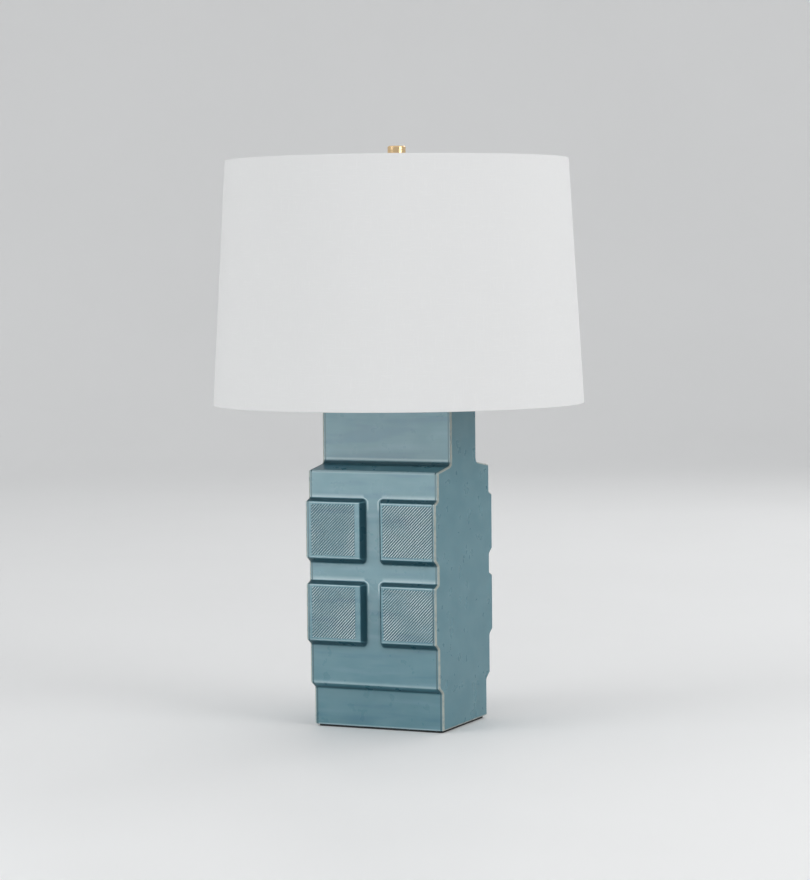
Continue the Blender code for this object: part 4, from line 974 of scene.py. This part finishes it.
def stud_thread():
    """The thread that the finial runs on."""
    _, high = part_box("harp_swivel_stud")
    return (high.z - 11.5 * MM, high.z - 0.4 * MM, FINE_PITCH, 0.35 * MM, 2.4 * MM)


def screw_thread(node, start, end, depth=0.9 * MM):
    """The rolled thread of the bulb's base or of its socket, kept clear of the piece's two ends."""
    low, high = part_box(node)
    return (low.z + start, high.z - end, SCREW_PITCH, depth, 0.7 * high.x)


def base_hardware():
    returned("base_washer", "base_washer_turned", "zinc", 0.4 * MM)
    returned("base_lock_washer", "base_lock_washer_turned", "zinc")
    returned("threaded_rod", "threaded_rod_cut", "zinc", 0.2 * MM, 48, thread=rod_thread())
    returned("cord_grommet", "cord_grommet_moulded", "rubber", 0.5 * MM, 64, along_y=True)
    finish_node("base_nut", "zinc", 0.4 * MM)


def neck_hardware():
    returned("neck_gasket", "neck_gasket_ring", "rubber", 0.4 * MM)
    returned("neck_cap", "neck_cap_turned", "brass", 0.8 * MM)
    returned("neck_spacer", "neck_spacer_turned", "brass", 0.5 * MM)
    finish_node("harp_saddle", "brass", 0.35 * MM)
    finish_node("harp_top_boss", "brass", 0.4 * MM)
    finish_node("harp_bow", "brass")
    for side in ("left", "right"):
        returned(f"harp_ferrule_{side}", f"harp_ferrule_{side}_rolled", "brass", 0.35 * MM, 64)


def socket_hardware():
    returned("socket_cap", "socket_cap_spun", "brass", 0.6 * MM)
    finish_node("socket_shell", "brass", 0.2 * MM)
    finish_node("socket_liner", "card")
    finish_node("socket_block", "phenolic", 0.4 * MM)
    finish_node("socket_contact_tab", "brass", 0.1 * MM)
    finish_node("terminal_screw_line", "brass", 0.2 * MM)
    finish_node("terminal_screw_neutral", "zinc", 0.2 * MM)
    returned("switch_bushing", "switch_bushing_turned", "brass", 0.3 * MM, 48, along_y=True)
    returned("switch_stem", "switch_stem_turned", "zinc", 0.3 * MM, 48, along_y=True)
    finish_node("switch_knob", "phenolic", 0.9 * MM)
    thread = screw_thread("socket_screw_shell", 3 * MM, 1 * MM, 0.35 * MM)
    returned("socket_screw_shell", "screw_shell_rolled", "aluminium", 0.2 * MM, 64, thread=thread)


def bulb():
    returned("bulb_contact", "bulb_contact_pressed", "nickel", 0.4 * MM, 48)
    returned("bulb_insulator", "bulb_insulator_moulded", "phenolic", 0.4 * MM, 64)
    thread = screw_thread("bulb_screw_base", 3.5 * MM, 1.5 * MM)
    returned("bulb_screw_base", "bulb_screw_base_rolled", "nickel", 0.3 * MM, 96, thread=thread)
    returned("bulb_housing", "bulb_housing_moulded", "plastic", 1.2 * MM)
    returned("bulb_led_board", "bulb_led_board_cut", "plastic", 0.1 * MM)
    returned("bulb_diffuser", "bulb_diffuser_dome", "opal", 0.3 * MM)


def spider_and_finial():
    returned("spider_hub", "spider_hub_stamped", "zinc", 0.4 * MM)
    returned("harp_swivel_stud", "harp_swivel_stud_cut", "zinc", 0.25 * MM, 48, thread=stud_thread())
    for number in (1, 2, 3):
        finish_node(f"spider_arm_{number}", "wire")
    returned("finial_insert", "finial_insert_turned", "brass", 0.2 * MM, 64)
    returned("finial_knob", "finial_turned", "polished", 0.5 * MM, 128)


# ---------------------------------------------------------------- stage, light and camera
def stage():
    """A pale floor that curves up into a round wall far outside every camera."""
    flat, curve, wall = 3.9, 1.6, 4.5
    outline = [(0.0, 0.0), (1.0, 0.0), (2.5, 0.0)]
    rising = np.linspace(0, math.pi / 2, 13)
    outline += [(flat + curve * math.sin(a), curve * (1 - math.cos(a))) for a in rising]
    outline.append((flat + curve, wall))
    angles = [math.tau * j / ROUND_SIDES for j in range(ROUND_SIDES)]
    points = [(r * math.cos(a), r * math.sin(a), z) for r, z in outline for a in angles]
    floor = add_object("floor", mesh_of("floor", points, ring_faces(len(outline), ROUND_SIDES)))
    floor.data.materials.append(floor_look())


def area_light(name, place, target, size, power):
    """A soft rectangular lamp turned towards a place."""
    data = bpy.data.lights.new(name, "AREA")
    data.shape = "RECTANGLE"
    data.size, data.size_y = size
    data.energy = power
    lamp = bpy.data.objects.new(name, data)
    lamp.location = place
    lamp.rotation_euler = (Vector(target) - Vector(place)).to_track_quat("-Z", "Y").to_euler()
    bpy.context.scene.collection.objects.link(lamp)
    return lamp


def lights():
    """An even pale room, three soft lamps, and a low one that only shows as the sheen on the glaze."""
    world = bpy.data.worlds.new("studio")
    world.use_nodes = True
    world.node_tree.nodes["Background"].inputs["Color"].default_value = (0.97, 0.985, 1.0, 1)
    world.node_tree.nodes["Background"].inputs["Strength"].default_value = 0.78
    bpy.context.scene.world = world
    middle = (0, 0, 0.32)
    area_light("key", (-1.9, -2.4, 1.7), middle, (1.8, 1.6), 26)
    area_light("fill", (2.9, -0.8, 1.5), middle, (1.6, 1.6), 32)
    area_light("back", (0.6, 2.9, 1.9), middle, (2.2, 1.2), 18)
    sheen = area_light("sheen", (-0.40, -0.86, 0.26), (0, 0, 0.24), (0.90, 0.50), 9.5)
    sheen.data.color = (0.90, 0.99, 1.0)
    sheen.visible_diffuse = False
    sheen.visible_camera = False


def camera():
    """Stands where the lamp is seen 24 degrees round from its front, a little above the shade's lower edge."""
    turn, distance, height = 0.421, 3.1717, 0.5052
    heading, pitch, roll = turn - 0.002, 0.061, -0.009
    place = Vector((distance * math.sin(turn), -distance * math.cos(turn), height))
    level = Vector((-math.sin(heading), math.cos(heading), 0))
    ahead = level * math.cos(pitch) - Vector((0, 0, math.sin(pitch)))
    right = Vector((math.cos(heading), math.sin(heading), 0))
    above = right.cross(ahead)
    rolled_right = right * math.cos(roll) + above * math.sin(roll)
    rolled_above = above * math.cos(roll) - right * math.sin(roll)
    data = bpy.data.cameras.new("camera")
    data.lens, data.sensor_width, data.clip_end = 118.35, 36, 50
    cam = bpy.data.objects.new("camera", data)
    rotation = Matrix((rolled_right, rolled_above, -ahead)).transposed()
    cam.matrix_world = Matrix.Translation(place) @ rotation.to_4x4()
    bpy.context.scene.collection.objects.link(cam)
    bpy.context.scene.camera = cam


def main():
    camera()
    stage()
    lights()
    ceramic()
    felt_pad()
    base_hardware()
    neck_hardware()
    socket_hardware()
    bulb()
    spider_and_finial()
    shade()
    bpy.context.scene.view_settings.view_transform = "Standard"


main()
